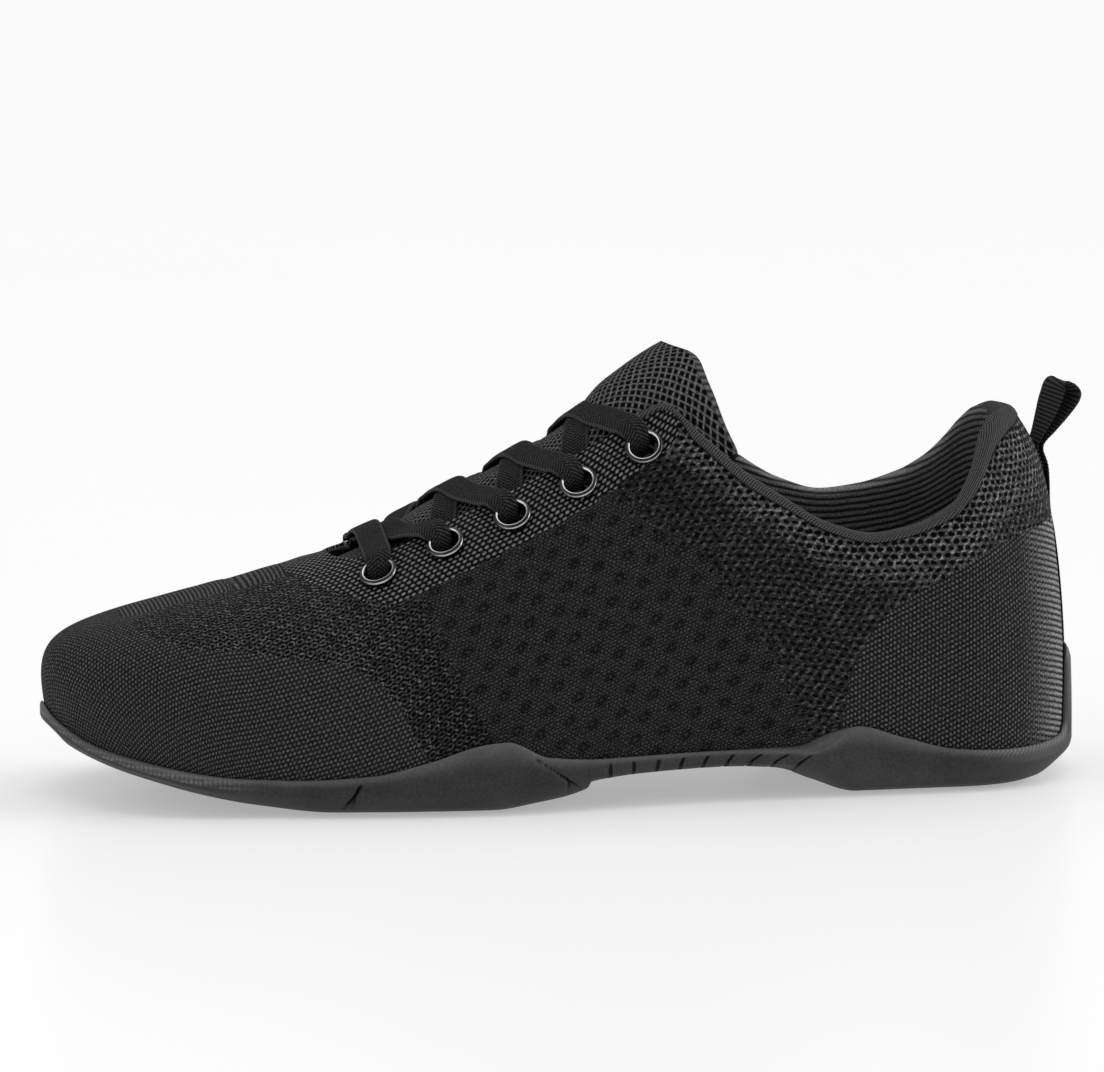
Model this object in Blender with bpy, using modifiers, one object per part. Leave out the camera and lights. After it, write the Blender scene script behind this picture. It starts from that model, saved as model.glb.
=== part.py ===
"""Cheerleading shoe for the left foot, standing empty on its sole.

A knitted upper with a padded collar sits in a rubber sole that has a forefoot pad, a heel pad and a ribbed
arch between them. A padded tongue, flat laces, metal eyelets, an insole and a webbing pull loop complete it.

Lengths are millimetres until a mesh is made. X runs from toe (-) to heel (+), Y from the outer side (-) to
the inner side (+), and Z up from the floor. "Travel" runs round the foot from the middle of the heel (0)
along one side to the tip of the toe, and the section planes fan round a pivot at the heel and one at the toe.
"""

import math

import bmesh
import bpy
from mathutils import Matrix, Vector

MM = 0.001
GAP = 0.3
OUTER, INNER = -1, 1

# Section planes: two pivots, and the travel that a quarter turn round each one takes
HEEL_PIVOT_X = 90.55
TOE_PIVOT_X = -81.45
HEEL_TRAVEL = 54.0
TOE_TRAVEL = 66.0
TOE_START = HEEL_TRAVEL + HEEL_PIVOT_X - TOE_PIVOT_X
TOE_TIP = TOE_START + TOE_TRAVEL
TOE_SWING = 5.0
SWING_START_X = -7.0
SPINE_Y = -1.7

# Upper
WALL = 2.2
COLLAR_PAD = 3.0
BINDING_STEP = 0.8
THROAT_HALF = 15.0
THROAT_FRONT_X = -58.0
THROAT_ROUND = 12.0
COLLAR_TO_THROAT = (118.0, 129.0)

# Eyelets and laces
EYELETS_A_SIDE = 5
FIRST_EYELET_X = -48.5
EYELET_PITCH = 15.9
EYELET_RADIUS_AT = 22.0
EYELET_BORE = 3.3
EYELET_BARREL = 3.75
EYELET_FLANGE = 4.6
EYELET_SEAT = 0.5
LACE_WIDTH = 6.4
LACE_THICK = 1.3
LACE_ENTRY = 16.6
LACE_EXIT = 13.8
LACE_BOW = 4.2

# Tongue
TONGUE_TOE_X = -66.0
TONGUE_HALF = 25.0
TONGUE_THICK = 3.2
TONGUE_PAD = 2.6
TONGUE_FREE = (5.0, 14.0)
TONGUE_TIP_X = 23.4
TONGUE_TIP_Z = 107.7
TONGUE_SLOPE = math.radians(35.7)
TONGUE_OUTER = (0.92, 0.0535)
TONGUE_INNER = (0.78, 0.078)
TONGUE_LIFT = 2.6
TONGUE_GAP = 14.2
TONGUE_EARS = 2.8
TONGUE_EARS_AT = 9.5

# Sole and insole
SOLE_FLOOR_EDGE = 7.0
SOLE_EDGE_RISE = 1.7
SOLE_LEAST = 1.4
RIM_THICK = 0.9
TAB_EXTRA = 0.7
SLOT_COUNT = 9
FIRST_SLOT_X = 3.5
SLOT_PITCH = 5.8
SLOT_WIDTH = 1.3
SLOT_DEPTH = 0.9
INSOLE_THICK = 3.5
FLOOR_SHARES = (0.92, 0.6, 0.0)

# Pull loop
LOOP_WIDTH = 9.0
LOOP_THICK = 0.9
LOOP_TWIST = math.radians(22)
LOOP_BASE_Z = 79.0
TAPE_END_Z = 31.8


class Table:
    """Rows of sizes under named columns, read along the first column with a smooth curve through the rows."""

    def __init__(self, columns, rows):
        self.names = columns.split()
        self.keys = [row[0] for row in rows]
        self.values = list(zip(*rows))

    def read(self, column, at):
        keys = self.keys
        values = self.values[self.names.index(column)]
        at = min(max(at, keys[0]), keys[-1])
        i = max(k for k in range(len(keys) - 1) if keys[k] <= at)
        width = keys[i + 1] - keys[i]
        share = (at - keys[i]) / width
        start, end = self.slope(values, i) * width, self.slope(values, i + 1) * width
        rise = values[i + 1] - values[i]
        return (values[i] + share * start
                + share ** 2 * (3 * rise - 2 * start - end)
                + share ** 3 * (start + end - 2 * rise))

    def slope(self, values, i):
        """The slope at a row: none at a peak, dip or end, else no steeper than keeps the curve level."""
        if i in (0, len(values) - 1):
            return 0.0
        before = (values[i] - values[i - 1]) / (self.keys[i] - self.keys[i - 1])
        after = (values[i + 1] - values[i]) / (self.keys[i + 1] - self.keys[i])
        if before * after <= 0:
            return 0.0
        return 2 * before * after / (before + after)


# The last: its radius at the bed on each side, and the handles of the curve from there up to the crown
LAST = Table("travel outer inner out rise crown_r crown_z spread drop", [
    (0, 33.6, 33.6, 0.0, 22, 16.5, 93.5, 16.0, 15),
    (18, 33.0, 33.0, 0.9, 22, 17, 93.5, 15.5, 15),
    (36, 32.4, 32.4, 2.4, 23, 17, 94.5, 13.5, 19),
    (54, 31.8, 31.5, 4.0, 23, 22, 99, 8, 28),
    (75, 32.4, 30.5, 4.0, 21, 28, 101, 2, 40),
    (96, 33.6, 28.0, 4.0, 23, 20, 107, 12, 34),
    (115, 35.2, 27.0, 4.2, 32, 2, 107, 30, 2),
    (128, 37.0, 28.0, 4.2, 31, 0, 98.4, 29.5, 0),
    (144, 39.5, 31.5, 4.4, 30, 0, 87.4, 29.5, 0),
    (160, 41.5, 36.0, 4.6, 28, 0, 78.0, 30, 0),
    (176, 42.8, 40.0, 4.6, 26, 0, 69.8, 31, 0),
    (190, 43.0, 41.5, 4.6, 25, 0, 62.4, 31, 0),
    (203, 42.4, 41.3, 4.6, 25, 0, 57.0, 30, 0),
    (215, 41.0, 40.2, 4.6, 25, 0, 53.4, 29, 0),
    (226, 39.4, 38.8, 4.6, 24, 0, 50.2, 30, 0),
    (248, 39.2, 39.8, 4.8, 24.2, 0, 44.0, 34, 4.6),
    (270, 41.7, 43.1, 4.2, 24, 0, 38.0, 38.5, 9.0),
    (292, 44.7, 44.7, 3.7, 22, 0, 32.0, 43, 11.6),
])

# The top edge of the collar on each side, and the width of the binding folded over it
COLLAR = Table("travel outer inner binding", [
    (0, 91.4, 91.4, 6.0),
    (14, 91.8, 91.2, 6.0),
    (26, 91.2, 89.0, 6.0),
    (34, 89.0, 85.2, 6.0),
    (40, 85.4, 80.8, 5.6),
    (48, 77.0, 75.0, 5.0),
    (56, 69.2, 70.8, 4.4),
    (65, 65.0, 67.8, 3.8),
    (75, 63.4, 66.6, 3.4),
    (86, 66.2, 69.8, 3.6),
    (98, 73.4, 77.0, 4.6),
    (107, 79.6, 82.8, 5.2),
    (116, 87.4, 89.4, 5.4),
    (120, 90.6, 91.4, 5.0),
    (124, 92.2, 92.4, 4.4),
    (130, 92.0, 92.0, 2.0),
])

# The sole along the foot: its underside, the bed that the foot stands on, the thickness of its side, and how
# far the features on that side lean forward for each millimetre that they rise
SOLE = Table("x tread bed side lean", [
    (-127.0, 15.8, 19.8, 0.9, 0.0),
    (-121.5, 12.4, 16.8, 1.4, 0.0),
    (-114.0, 9.7, 13.3, 1.9, 0.0),
    (-104.0, 7.0, 10.4, 2.2, 0.0),
    (-92.0, 4.2, 7.8, 2.4, 0.0),
    (-77.0, 1.4, 5.9, 2.5, 0.0),
    (-62.0, 0.0, 5.1, 2.5, 0.0),
    (-24.0, 0.0, 5.5, 2.5, 0.0),
    (-14.0, 1.3, 6.6, 2.5, 0.0),
    (-1.6, 4.0, 8.3, 2.4, 0.9),
    (-0.6, 5.6, 8.4, 1.5, 0.9),
    (10.0, 6.9, 9.4, 1.5, 0.0),
    (32.0, 7.4, 10.0, 1.5, -0.3),
    (46.0, 6.6, 9.4, 1.7, -0.7),
    (55.0, 3.4, 8.0, 2.4, -0.5),
    (66.0, 0.0, 6.8, 2.6, 0.0),
    (103.0, 0.0, 6.6, 2.6, 0.0),
    (112.0, 0.5, 6.8, 2.5, 0.0),
    (119.0, 2.8, 7.2, 2.2, 0.0),
    (127.0, 6.0, 7.8, 1.6, 0.0),
])

# The top edge of the sole's side: heel tab, heel wing, arch, ball wing and toe lip
RIM = Table("travel height", [
    (0, 31.0),
    (8, 30.8),
    (11, 28.5),
    (12.6, 22.0),
    (14, 13.0),
    (18, 10.6),
    (38, 9.8),
    (54, 10.6),
    (68, 14.0),
    (80, 17.2),
    (86, 16.0),
    (95, 12.8),
    (119, 12.6),
    (143, 12.4),
    (156, 13.4),
    (166, 17.4),
    (171, 17.0),
    (185, 12.9),
    (199, 9.8),
    (215, 8.9),
    (226, 9.2),
    (248, 11.8),
    (259, 13.6),
    (270, 15.8),
    (281, 19.2),
    (292, 22.4),
])


def smooth(value, low, high):
    """0 below low, 1 above high, and an even S between."""
    share = min(max((value - low) / (high - low), 0.0), 1.0)
    return share * share * (3 - 2 * share)


def plane_at(travel):
    """The pivot's X and the turn of a section plane: 0 looks to the heel, a half turn to the toe."""
    if travel < HEEL_TRAVEL:
        return HEEL_PIVOT_X, math.pi / 2 * travel / HEEL_TRAVEL
    if travel < TOE_START:
        return HEEL_PIVOT_X - (travel - HEEL_TRAVEL), math.pi / 2
    return TOE_PIVOT_X, math.pi / 2 * (1 + (travel - TOE_START) / TOE_TRAVEL)


def travel_at(x):
    """The travel of the plane straight across the foot at x, between the pivots."""
    return HEEL_TRAVEL + HEEL_PIVOT_X - x


def place(travel, side, radius, height):
    pivot_x, turn = plane_at(travel)
    swing = TOE_SWING * smooth(-pivot_x, -SWING_START_X, -TOE_PIVOT_X)
    y = SPINE_Y + swing + side * radius * math.sin(turn)
    return Vector((pivot_x + radius * math.cos(turn), y, height))


def bed_edge(travel, side):
    """Radius and height of the last where it meets the bed."""
    radius = LAST.read("outer" if side == OUTER else "inner", travel)
    return radius, SOLE.read("bed", place(travel, side, radius, 0).x)


def on_section(travel, side, t, offset=0.0):
    """Radius and height on the last's section, from bed (t = 0) to crown (t = 1), moved out by offset."""
    radius, bed = bed_edge(travel, side)
    first = Vector((radius, bed))
    second = first + Vector((LAST.read("out", travel), LAST.read("rise", travel)))
    fourth = Vector((LAST.read("crown_r", travel), LAST.read("crown_z", min(travel, TOE_START))))
    third = fourth + Vector((LAST.read("spread", travel), -LAST.read("drop", travel)))
    s = 1 - t
    point = first * s ** 3 + second * (3 * s * s * t) + third * (3 * s * t * t) + fourth * t ** 3
    along = (second - first) * s * s + (third - second) * (2 * s * t) + (fourth - third) * t * t
    out = Vector((along.y, -along.x)).normalized()
    return point + out * offset


def on_last(travel, side, t, offset=0.0):
    radius, height = on_section(travel, side, t, offset)
    return place(travel, side, radius, height)


def t_where(travel, side, test):
    """The share of a section, from the bed up, at which the test first fails."""
    low, high = 0.0, 1.0
    for _ in range(24):
        middle = (low + high) / 2
        if test(on_section(travel, side, middle)):
            low = middle
        else:
            high = middle
    return low


def t_at_radius(travel, side, radius):
    return t_where(travel, side, lambda point: point.x > radius)


def t_at_height(travel, side, height):
    return t_where(travel, side, lambda point: point.y < height)


def throat_half(x):
    """Half the width of the lacing gap, which closes in a round end at its front."""
    into = min(max((x - THROAT_FRONT_X) / THROAT_ROUND, 0.0), 1.0)
    return THROAT_HALF * math.sqrt(1 - (1 - into) ** 2)


def t_top(travel, side):
    """Where the upper stops: the collar's edge at the back, the throat's in front, the ridge at the toe."""
    collar_end, throat_start = COLLAR_TO_THROAT
    if travel >= travel_at(THROAT_FRONT_X):
        return 1.0
    by_height = t_at_height(travel, side, COLLAR.read("outer" if side == OUTER else "inner", travel))
    if travel <= collar_end:
        return by_height
    by_radius = t_at_radius(travel, side, throat_half(plane_at(travel)[0]))
    share = smooth(travel, collar_end, throat_start)
    return by_height * (1 - share) + by_radius * share


def steps(start, stop, count):
    return [start + (stop - start) * i / count for i in range(count + 1)]


def round_the_foot(travels):
    """Each travel on the outer side from heel to toe, then on the inner side back to the heel."""
    return [(travel, OUTER) for travel in travels] + [(travel, INNER) for travel in travels[-2:0:-1]]


def new_object(name, mesh, material, collection):
    obj = bpy.data.objects.new(name, mesh)
    collection.objects.link(obj)
    if material:
        mesh.materials.append(material)
    return obj


def mesh_of_columns(name, columns, closed):
    """A mesh with faces between neighbouring columns of points in millimetres, its double points welded."""
    bm = bmesh.new()
    grid = [[bm.verts.new(point * MM) for point in column] for column in columns]
    count = len(grid)
    for i in range(count if closed else count - 1):
        left, right = grid[i], grid[(i + 1) % count]
        for k in range(len(left) - 1):
            bm.faces.new((left[k], right[k], right[k + 1], left[k + 1]))
    bmesh.ops.remove_doubles(bm, verts=bm.verts, dist=0.01 * MM)
    bmesh.ops.dissolve_degenerate(bm, edges=bm.edges, dist=0.001 * MM)
    mesh = bpy.data.meshes.new(name)
    bm.to_mesh(mesh)
    bm.free()
    mesh.shade_smooth()
    mesh.set_sharp_from_angle(angle=math.radians(50))
    return mesh


def face_outwards(mesh):
    bm = bmesh.new()
    bm.from_mesh(mesh)
    bmesh.ops.recalc_face_normals(bm, faces=bm.faces)
    bm.to_mesh(mesh)
    bm.free()


def face_away(mesh, centre):
    """Turn an open sheet so that its faces point away from the centre and its wall grows towards it."""
    outward = sum((face.center - centre * MM).dot(face.normal) * face.area for face in mesh.polygons)
    if outward < 0:
        mesh.flip_normals()


def add_wall(obj, thickness, shares=None):
    """Solidify inwards, by a share of the thickness at each point where shares are given."""
    wall = obj.modifiers.new("wall", "SOLIDIFY")
    wall.thickness = thickness * MM
    wall.offset = -1
    if shares:
        group = obj.vertex_groups.new(name="wall")
        for index, share in enumerate(shares):
            group.add([index], share, "REPLACE")
        wall.vertex_group = group.name
    return wall


def material(name, colour, roughness, metallic=0.0):
    made = bpy.data.materials.new(name)
    made.use_nodes = True
    shader = made.node_tree.nodes["Principled BSDF"]
    shader.inputs["Base Color"].default_value = (*colour, 1)
    shader.inputs["Roughness"].default_value = roughness
    shader.inputs["Metallic"].default_value = metallic
    return made


# Upper: one knitted wall with a padded collar, open at collar, throat and underneath
UPPER_ROWS = 7
BINDING_ROWS = 2


def upper_travels():
    middle = steps(HEEL_TRAVEL, TOE_START, 22)
    throat = [travel_at(THROAT_FRONT_X + d) for d in (0, 1.5, 4.5)]
    return sorted(steps(0, HEEL_TRAVEL, 6)[:-1] + middle + throat + steps(TOE_START, TOE_TIP, 6)[1:])


def upper_rows(travel, side):
    """(t, step) for each point up a section: the wall up to the binding or the throat's edge, then the rest.

    The rest is the binding, standing proud, along the collar, nothing along the throat, and the ridge at the
    toe.
    """
    top = t_top(travel, side)
    collar = 1 - smooth(travel, *COLLAR_TO_THROAT)
    edge = t_at_radius(travel, side, THROAT_HALF) if collar < 1 else 0.0
    if collar > 0:
        under_binding = on_section(travel, side, top).y - COLLAR.read("binding", travel)
        edge = edge * (1 - collar) + t_at_height(travel, side, under_binding) * collar
    edge = min(edge, top)
    step = BINDING_STEP * (1 - smooth(travel, 119, 127))
    wall = [(edge * k / UPPER_ROWS, 0.0) for k in range(UPPER_ROWS + 1)]
    above = [(edge + (top - edge) * (0.08 + 0.92 * k / BINDING_ROWS), step) for k in range(BINDING_ROWS + 1)]
    return wall + above


def collar_pad(travel, share):
    """How much of the collar's padding is under a point, from its share of the way up the section."""
    return (1 - smooth(travel, 88, 120)) * smooth(share, 0.5, 0.85)


def build_upper(fabric, collection, cutters):
    columns, depths = [], []
    for travel, side in round_the_foot(upper_travels()):
        rows = upper_rows(travel, side)
        columns.append([on_last(travel, side, t, step) for t, step in rows])
        depths.append([WALL + step + COLLAR_PAD * collar_pad(travel, t / rows[-1][0]) for t, step in rows])
    mesh = mesh_of_columns("upper", columns, closed=True)
    face_away(mesh, Vector((0, 0, 40)))
    upper = new_object("upper", mesh, fabric, collection)
    thickest = WALL + BINDING_STEP + COLLAR_PAD
    depth_at = {tuple(round(c, 2) for c in point): depth
                for column, row in zip(columns, depths) for point, depth in zip(column, row)}
    shares = []
    for vertex in mesh.vertices:
        key = tuple(round(c / MM, 2) for c in vertex.co)
        shares.append(depth_at.get(key, WALL) / thickest)
    add_wall(upper, thickest, shares)
    holes = upper.modifiers.new("eyelet holes", "BOOLEAN")
    holes.object = build_hole_cutter(cutters)
    return upper


def eyelet_places():
    """(name, frame) of each eyelet, the frame's Z pointing out of the upper."""
    for side, word in ((OUTER, "outer"), (INNER, "inner")):
        for k in range(EYELETS_A_SIDE):
            travel = travel_at(FIRST_EYELET_X + EYELET_PITCH * k)
            yield f"eyelet_{word}_{k + 1}", surface_frame(travel, side, EYELET_RADIUS_AT)


def surface_frame(travel, side, radius):
    """A frame on the last's surface at a radius: X along the foot, Z outwards."""
    t = t_at_radius(travel, side, radius)
    point = on_last(travel, side, t)
    up = on_last(travel, side, t + 0.02) - point
    ahead_travel = travel + 1.0
    ahead = on_last(ahead_travel, side, t_at_radius(ahead_travel, side, radius)) - point
    normal = (ahead.cross(up) * side).normalized()
    along = (ahead - normal * ahead.dot(normal)).normalized()
    across = normal.cross(along)
    frame = Matrix((along, across, normal)).transposed().to_4x4()
    frame.translation = point * MM
    return frame


def build_hole_cutter(cutters):
    bm = bmesh.new()
    for _, frame in eyelet_places():
        bmesh.ops.create_cone(bm, cap_ends=True, segments=16, radius1=(EYELET_BARREL + GAP) * MM,
                              radius2=(EYELET_BARREL + GAP) * MM, depth=12 * MM, matrix=frame)
    mesh = bpy.data.meshes.new("eyelet_holes")
    bm.to_mesh(mesh)
    bm.free()
    cutter = new_object("eyelet_holes", mesh, None, cutters)
    cutter.hide_render = True
    cutter.display_type = "WIRE"
    return cutter


def build_eyelets(metal, collection):
    """A rolled ring with its barrel through the upper, turned from one profile."""
    flange = [(EYELET_BORE + 0.6, 1.4), (EYELET_FLANGE, 0.95), (EYELET_FLANGE, EYELET_SEAT)]
    barrel = [(EYELET_BARREL, EYELET_SEAT), (EYELET_BARREL, -WALL), (EYELET_BORE, -WALL)]
    profile = [(EYELET_BORE, 0.9)] + flange + barrel
    bm = bmesh.new()
    points = [bm.verts.new((radius * MM, 0, height * MM)) for radius, height in profile]
    for i, point in enumerate(points):
        bm.edges.new((point, points[(i + 1) % len(points)]))
    mesh = bpy.data.meshes.new("eyelet")
    bm.to_mesh(mesh)
    bm.free()
    mesh.materials.append(metal)
    for name, frame in eyelet_places():
        eyelet = new_object(name, mesh, None, collection)
        eyelet.matrix_world = frame
        turn = eyelet.modifiers.new("turn", "SCREW")
        turn.steps = turn.render_steps = 12
        turn.use_merge_vertices = True
        turn.merge_threshold = 0.01 * MM
        turn.use_normal_calculate = True


# Sole: one moulded cup whose side follows the last, with pads, a ribbed arch and a tab at the heel
def slot_share(x):
    """1 inside a slot of the ribbed arch and 0 outside it."""
    for k in range(SLOT_COUNT):
        if abs(x - FIRST_SLOT_X - SLOT_PITCH * k) < SLOT_WIDTH / 2:
            return 1.0
    return 0.0


def sole_travels():
    slots = []
    for k in range(SLOT_COUNT):
        middle = travel_at(FIRST_SLOT_X + SLOT_PITCH * k)
        slots += [middle + d for d in (-SLOT_WIDTH / 2 - 0.15, -SLOT_WIDTH / 2 + 0.05,
                                       SLOT_WIDTH / 2 - 0.05, SLOT_WIDTH / 2 + 0.15)]
    heel = [0, 4.5, 9, 11, 12.6, 14, 18, 22.5, 27, 36, 45]
    heel_pad = steps(HEEL_TRAVEL, slots[-1] - 8, 6)
    pad_end = [travel_at(x) for x in (0.6, -0.6, -1.6, -4.0)]
    forefoot = steps(travel_at(-9.0), TOE_START, 11)
    return sorted(heel + heel_pad + slots + pad_end + forefoot + steps(TOE_START, TOE_TIP, 7)[1:])


def underside(travel, side, share):
    """A point of the underside at a share of the radius. Near the edge it curves up."""
    edge, _ = bed_edge(travel, side)
    radius = edge * share
    point = place(travel, side, radius, 0)
    near_edge = max(0.0, 1 - (edge - radius) / SOLE_FLOOR_EDGE)
    slot = SLOT_DEPTH * slot_share(point.x) if plane_at(travel)[1] == math.pi / 2 else 0.0
    height = SOLE.read("tread", point.x) + SOLE_EDGE_RISE * near_edge ** 2 + slot
    point.z = min(height, SOLE.read("bed", point.x) - SOLE_LEAST)
    return point


def outer_side(travel, side, share, top):
    """A point of the outer face of the side at a share of its height, leaning as its features do."""
    x = plane_at(travel)[0]
    lean = SOLE.read("lean", x) * share * 8.0
    leaning = travel + lean
    edge, _ = bed_edge(leaning, side)
    at_bed = place(leaning, side, edge, 0)
    thick = SOLE.read("side", at_bed.x) - SLOT_DEPTH * slot_share(x) * (1 - smooth(share, 0.5, 0.7))
    tab = TAB_EXTRA * (1 - smooth(travel, 9, 14))
    thick = thick * (1 - share) + (RIM_THICK + tab) * share
    return on_last(leaning, side, top * share, GAP + thick)


def sole_section(travel, side):
    top = t_at_height(travel, side, RIM.read("height", travel))
    edge, bed = bed_edge(travel, side)
    bottom = [underside(travel, side, share) for share in (0, 0.5, 0.82, 0.91, 1.0)]
    outside = [outer_side(travel, side, share, top) for share in (0.15, 0.55, 1.0)]
    inside = [on_last(travel, side, top * share, GAP) for share in (1.0, 0.4, 0.0)]
    inside[-1].z -= 1.5 * GAP
    floor = [place(travel, side, edge * share, 0) for share in FLOOR_SHARES]
    for point in floor:
        point.z = SOLE.read("bed", point.x) - 1.5 * GAP
    return bottom + outside + inside + floor


def build_sole(rubber, collection):
    columns = [sole_section(travel, side) for travel, side in round_the_foot(sole_travels())]
    mesh = mesh_of_columns("outsole", columns, closed=True)
    face_outwards(mesh)
    return new_object("outsole", mesh, rubber, collection)


def build_insole(foam, collection):
    columns = []
    middle, toe = steps(HEEL_TRAVEL, TOE_START, 17), steps(TOE_START, TOE_TIP, 7)
    travels = steps(0, HEEL_TRAVEL, 5) + middle[1:] + toe[1:]
    for travel, side in round_the_foot(travels):
        edge, _ = bed_edge(travel, side)
        outline = edge - WALL - 2 * GAP
        column = []
        base = [(share * edge, 0) for share in reversed(FLOOR_SHARES[1:])]
        rim = [(outline - 0.4, 0), (outline, INSOLE_THICK * 0.7), (outline - 1.0, INSOLE_THICK)]
        face = [(share * edge, INSOLE_THICK) for share in FLOOR_SHARES[1:]]
        for radius, lift in base + rim + face:
            point = place(travel, side, radius, 0)
            point.z = SOLE.read("bed", point.x) + GAP + lift
            column.append(point)
        columns.append(column)
    mesh = mesh_of_columns("insole", columns, closed=True)
    face_outwards(mesh)
    return new_object("insole", mesh, foam, collection)


# Tongue: a padded strip that lies on the last under the laces, and above them is an arch of its own
TONGUE_ROWS = steps(0, 0.76, 8) + steps(0.8, 1, 6)
TONGUE_ACROSS = 18


def tongue_point(along, across):
    """The tongue's outer face: along from toe (0) to top (1), across from outer (-1) to inner edge (1)."""
    half = TONGUE_HALF * (0.72 + 0.28 * smooth(along, 0.0, 0.45))
    radius = max(abs(across) * half, 0.01)
    side = OUTER if across < 0 else INNER
    ridge_x = TONGUE_TOE_X + (TONGUE_TIP_X - TONGUE_TOE_X) * along
    travel = travel_at(ridge_x)
    in_throat = smooth(ridge_x, THROAT_FRONT_X + 6, THROAT_FRONT_X + 24)
    arch = max(0.0, 1 - (radius / TONGUE_GAP) ** 2) ** 1.2
    t = t_at_radius(travel, side, radius)
    low = on_last(travel, side, t, TONGUE_LIFT * arch * in_throat - WALL - 3 * GAP)
    reach, bend = TONGUE_OUTER if across < 0 else TONGUE_INNER
    y = across * half * reach
    down = bend * y * y
    ears = TONGUE_EARS * math.exp(-((abs(y) - TONGUE_EARS_AT) / 4.5) ** 2) - 3.0 * smooth(abs(y), 15.0, 23.0)
    ears *= smooth(along, 0.7, 1.0)
    ridge_z = TONGUE_TIP_Z + (ridge_x - TONGUE_TIP_X) * math.tan(TONGUE_SLOPE)
    free = Vector((ridge_x + down * math.sin(TONGUE_SLOPE) + ears * math.cos(TONGUE_SLOPE),
                   place(travel, side, 0, 0).y + y,
                   ridge_z - down * math.cos(TONGUE_SLOPE) + ears * math.sin(TONGUE_SLOPE)))
    return low.lerp(free, smooth(ridge_x, *TONGUE_FREE))


def build_tongue(mesh_fabric, collection):
    acrosses = steps(-1, 1, TONGUE_ACROSS)
    columns = [[tongue_point(along, across) for across in acrosses] for along in TONGUE_ROWS]
    mesh = mesh_of_columns("tongue", columns, closed=False)
    face_away(mesh, Vector((0, 0, 0)))
    tongue = new_object("tongue", mesh, mesh_fabric, collection)
    thickest = TONGUE_THICK + TONGUE_PAD
    shares = []
    for along in TONGUE_ROWS:
        for across in acrosses:
            pad = TONGUE_PAD * smooth(along, 0.55, 0.85) * (1 - smooth(abs(across), 0.6, 1.0))
            shares.append((TONGUE_THICK + pad) / thickest)
    add_wall(tongue, thickest, shares)
    return tongue


# Laces: a bar across the first eyelets, then crossings whose upper strand enters the next outer eyelet
def lace_strand(name, start, stop, bow, middle_lift, cotton, collection):
    """A flat strand between (x, y, lift) at its two ends, bowed to the toe, where lift is above the last."""
    columns = []
    for share in steps(0, 1, 8):
        x, y, lift = (a + (b - a) * share for a, b in zip(start, stop))
        x -= bow * math.sin(math.pi * share)
        lift += (middle_lift - (start[2] + stop[2]) / 2) * math.sin(math.pi * share) ** 2
        side = OUTER if y < 0 else INNER
        column = []
        for across in (-0.5, 0.0, 0.5):
            travel = travel_at(x + LACE_WIDTH * across)
            t = t_at_radius(travel, side, max(abs(y), 0.01))
            column.append(on_last(travel, side, t, lift + LACE_THICK / 2 - 0.25 * abs(across)))
        columns.append(column)
    mesh = mesh_of_columns(name, columns, closed=False)
    face_away(mesh, Vector((0, 0, 0)))
    strand = new_object(name, mesh, cotton, collection)
    add_wall(strand, LACE_THICK)
    return strand


def build_laces(cotton, collection, cutters):
    over_flap, under_flap = 1.35, -0.8
    xs = [FIRST_EYELET_X + EYELET_PITCH * k for k in range(EYELETS_A_SIDE)]
    bar_x = xs[0] - 2.6
    start, stop = (bar_x, -LACE_ENTRY, over_flap), (bar_x, LACE_ENTRY, over_flap)
    lace_strand("lace_bar", start, stop, 0.0, 1.3, cotton, collection)
    for k in range(EYELETS_A_SIDE - 1):
        low, high = xs[k], xs[k + 1]
        reach = (high - low) / (2 * EYELET_RADIUS_AT)
        entry_x = high - reach * (EYELET_RADIUS_AT - LACE_ENTRY)
        exit_x = low + reach * (EYELET_RADIUS_AT - LACE_EXIT)
        bow = LACE_BOW if k else 0.0
        start, stop = (entry_x, -LACE_ENTRY, over_flap), (exit_x, LACE_EXIT, under_flap)
        over = lace_strand(f"lace_cross_{k + 1}", start, stop, bow, 2.8, cotton, collection)
        start, stop = (exit_x, -LACE_EXIT, under_flap), (entry_x, LACE_ENTRY, over_flap)
        under = lace_strand(f"lace_under_{k + 1}", start, stop, bow, 1.7, cotton, cutters)
        under.hide_render = True
        under.display_type = "WIRE"
        join = over.modifiers.new("join", "BOOLEAN")
        join.operation = "UNION"
        join.object = under


# Pull loop: webbing folded into a loop above the heel seam, with its tail taped down the back
def heel_back(height, offset):
    """A point on the middle of the heel at a height, moved out by offset."""
    return on_last(0, OUTER, t_at_height(0, OUTER, height), offset)


def loop_path():
    """Points of the webbing's middle line, with how far each has twisted."""
    inner, outer = LOOP_THICK / 2 + GAP, 1.5 * LOOP_THICK + 2 * GAP
    base = heel_back(LOOP_BASE_Z, 0)
    front = [heel_back(LOOP_BASE_Z - 5, inner), heel_back(LOOP_BASE_Z, inner + 0.2)]
    turns = ((2.2, 0, 4.4), (3.9, 0, 8.8), (5.3, 0, 12.8), (6.2, 0, 15.4), (7.5, 0, 16.3),
             (9.4, 0, 15.0), (9.9, 0, 13.0), (7.6, 0, 9.0), (4.8, 0, 4.8))
    loop = [base + Vector(turn) for turn in turns]
    tail = [heel_back(LOOP_BASE_Z, outer + 0.3), heel_back(LOOP_BASE_Z - 5, outer)]
    tape = [heel_back(z, GAP + LOOP_THICK / 2) for z in steps(LOOP_BASE_Z - 14, TAPE_END_Z, 6)]
    points = front + loop + tail + tape
    return [(p, LOOP_TWIST * smooth(p.z, LOOP_BASE_Z + 1, LOOP_BASE_Z + 13)) for p in points]


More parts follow.
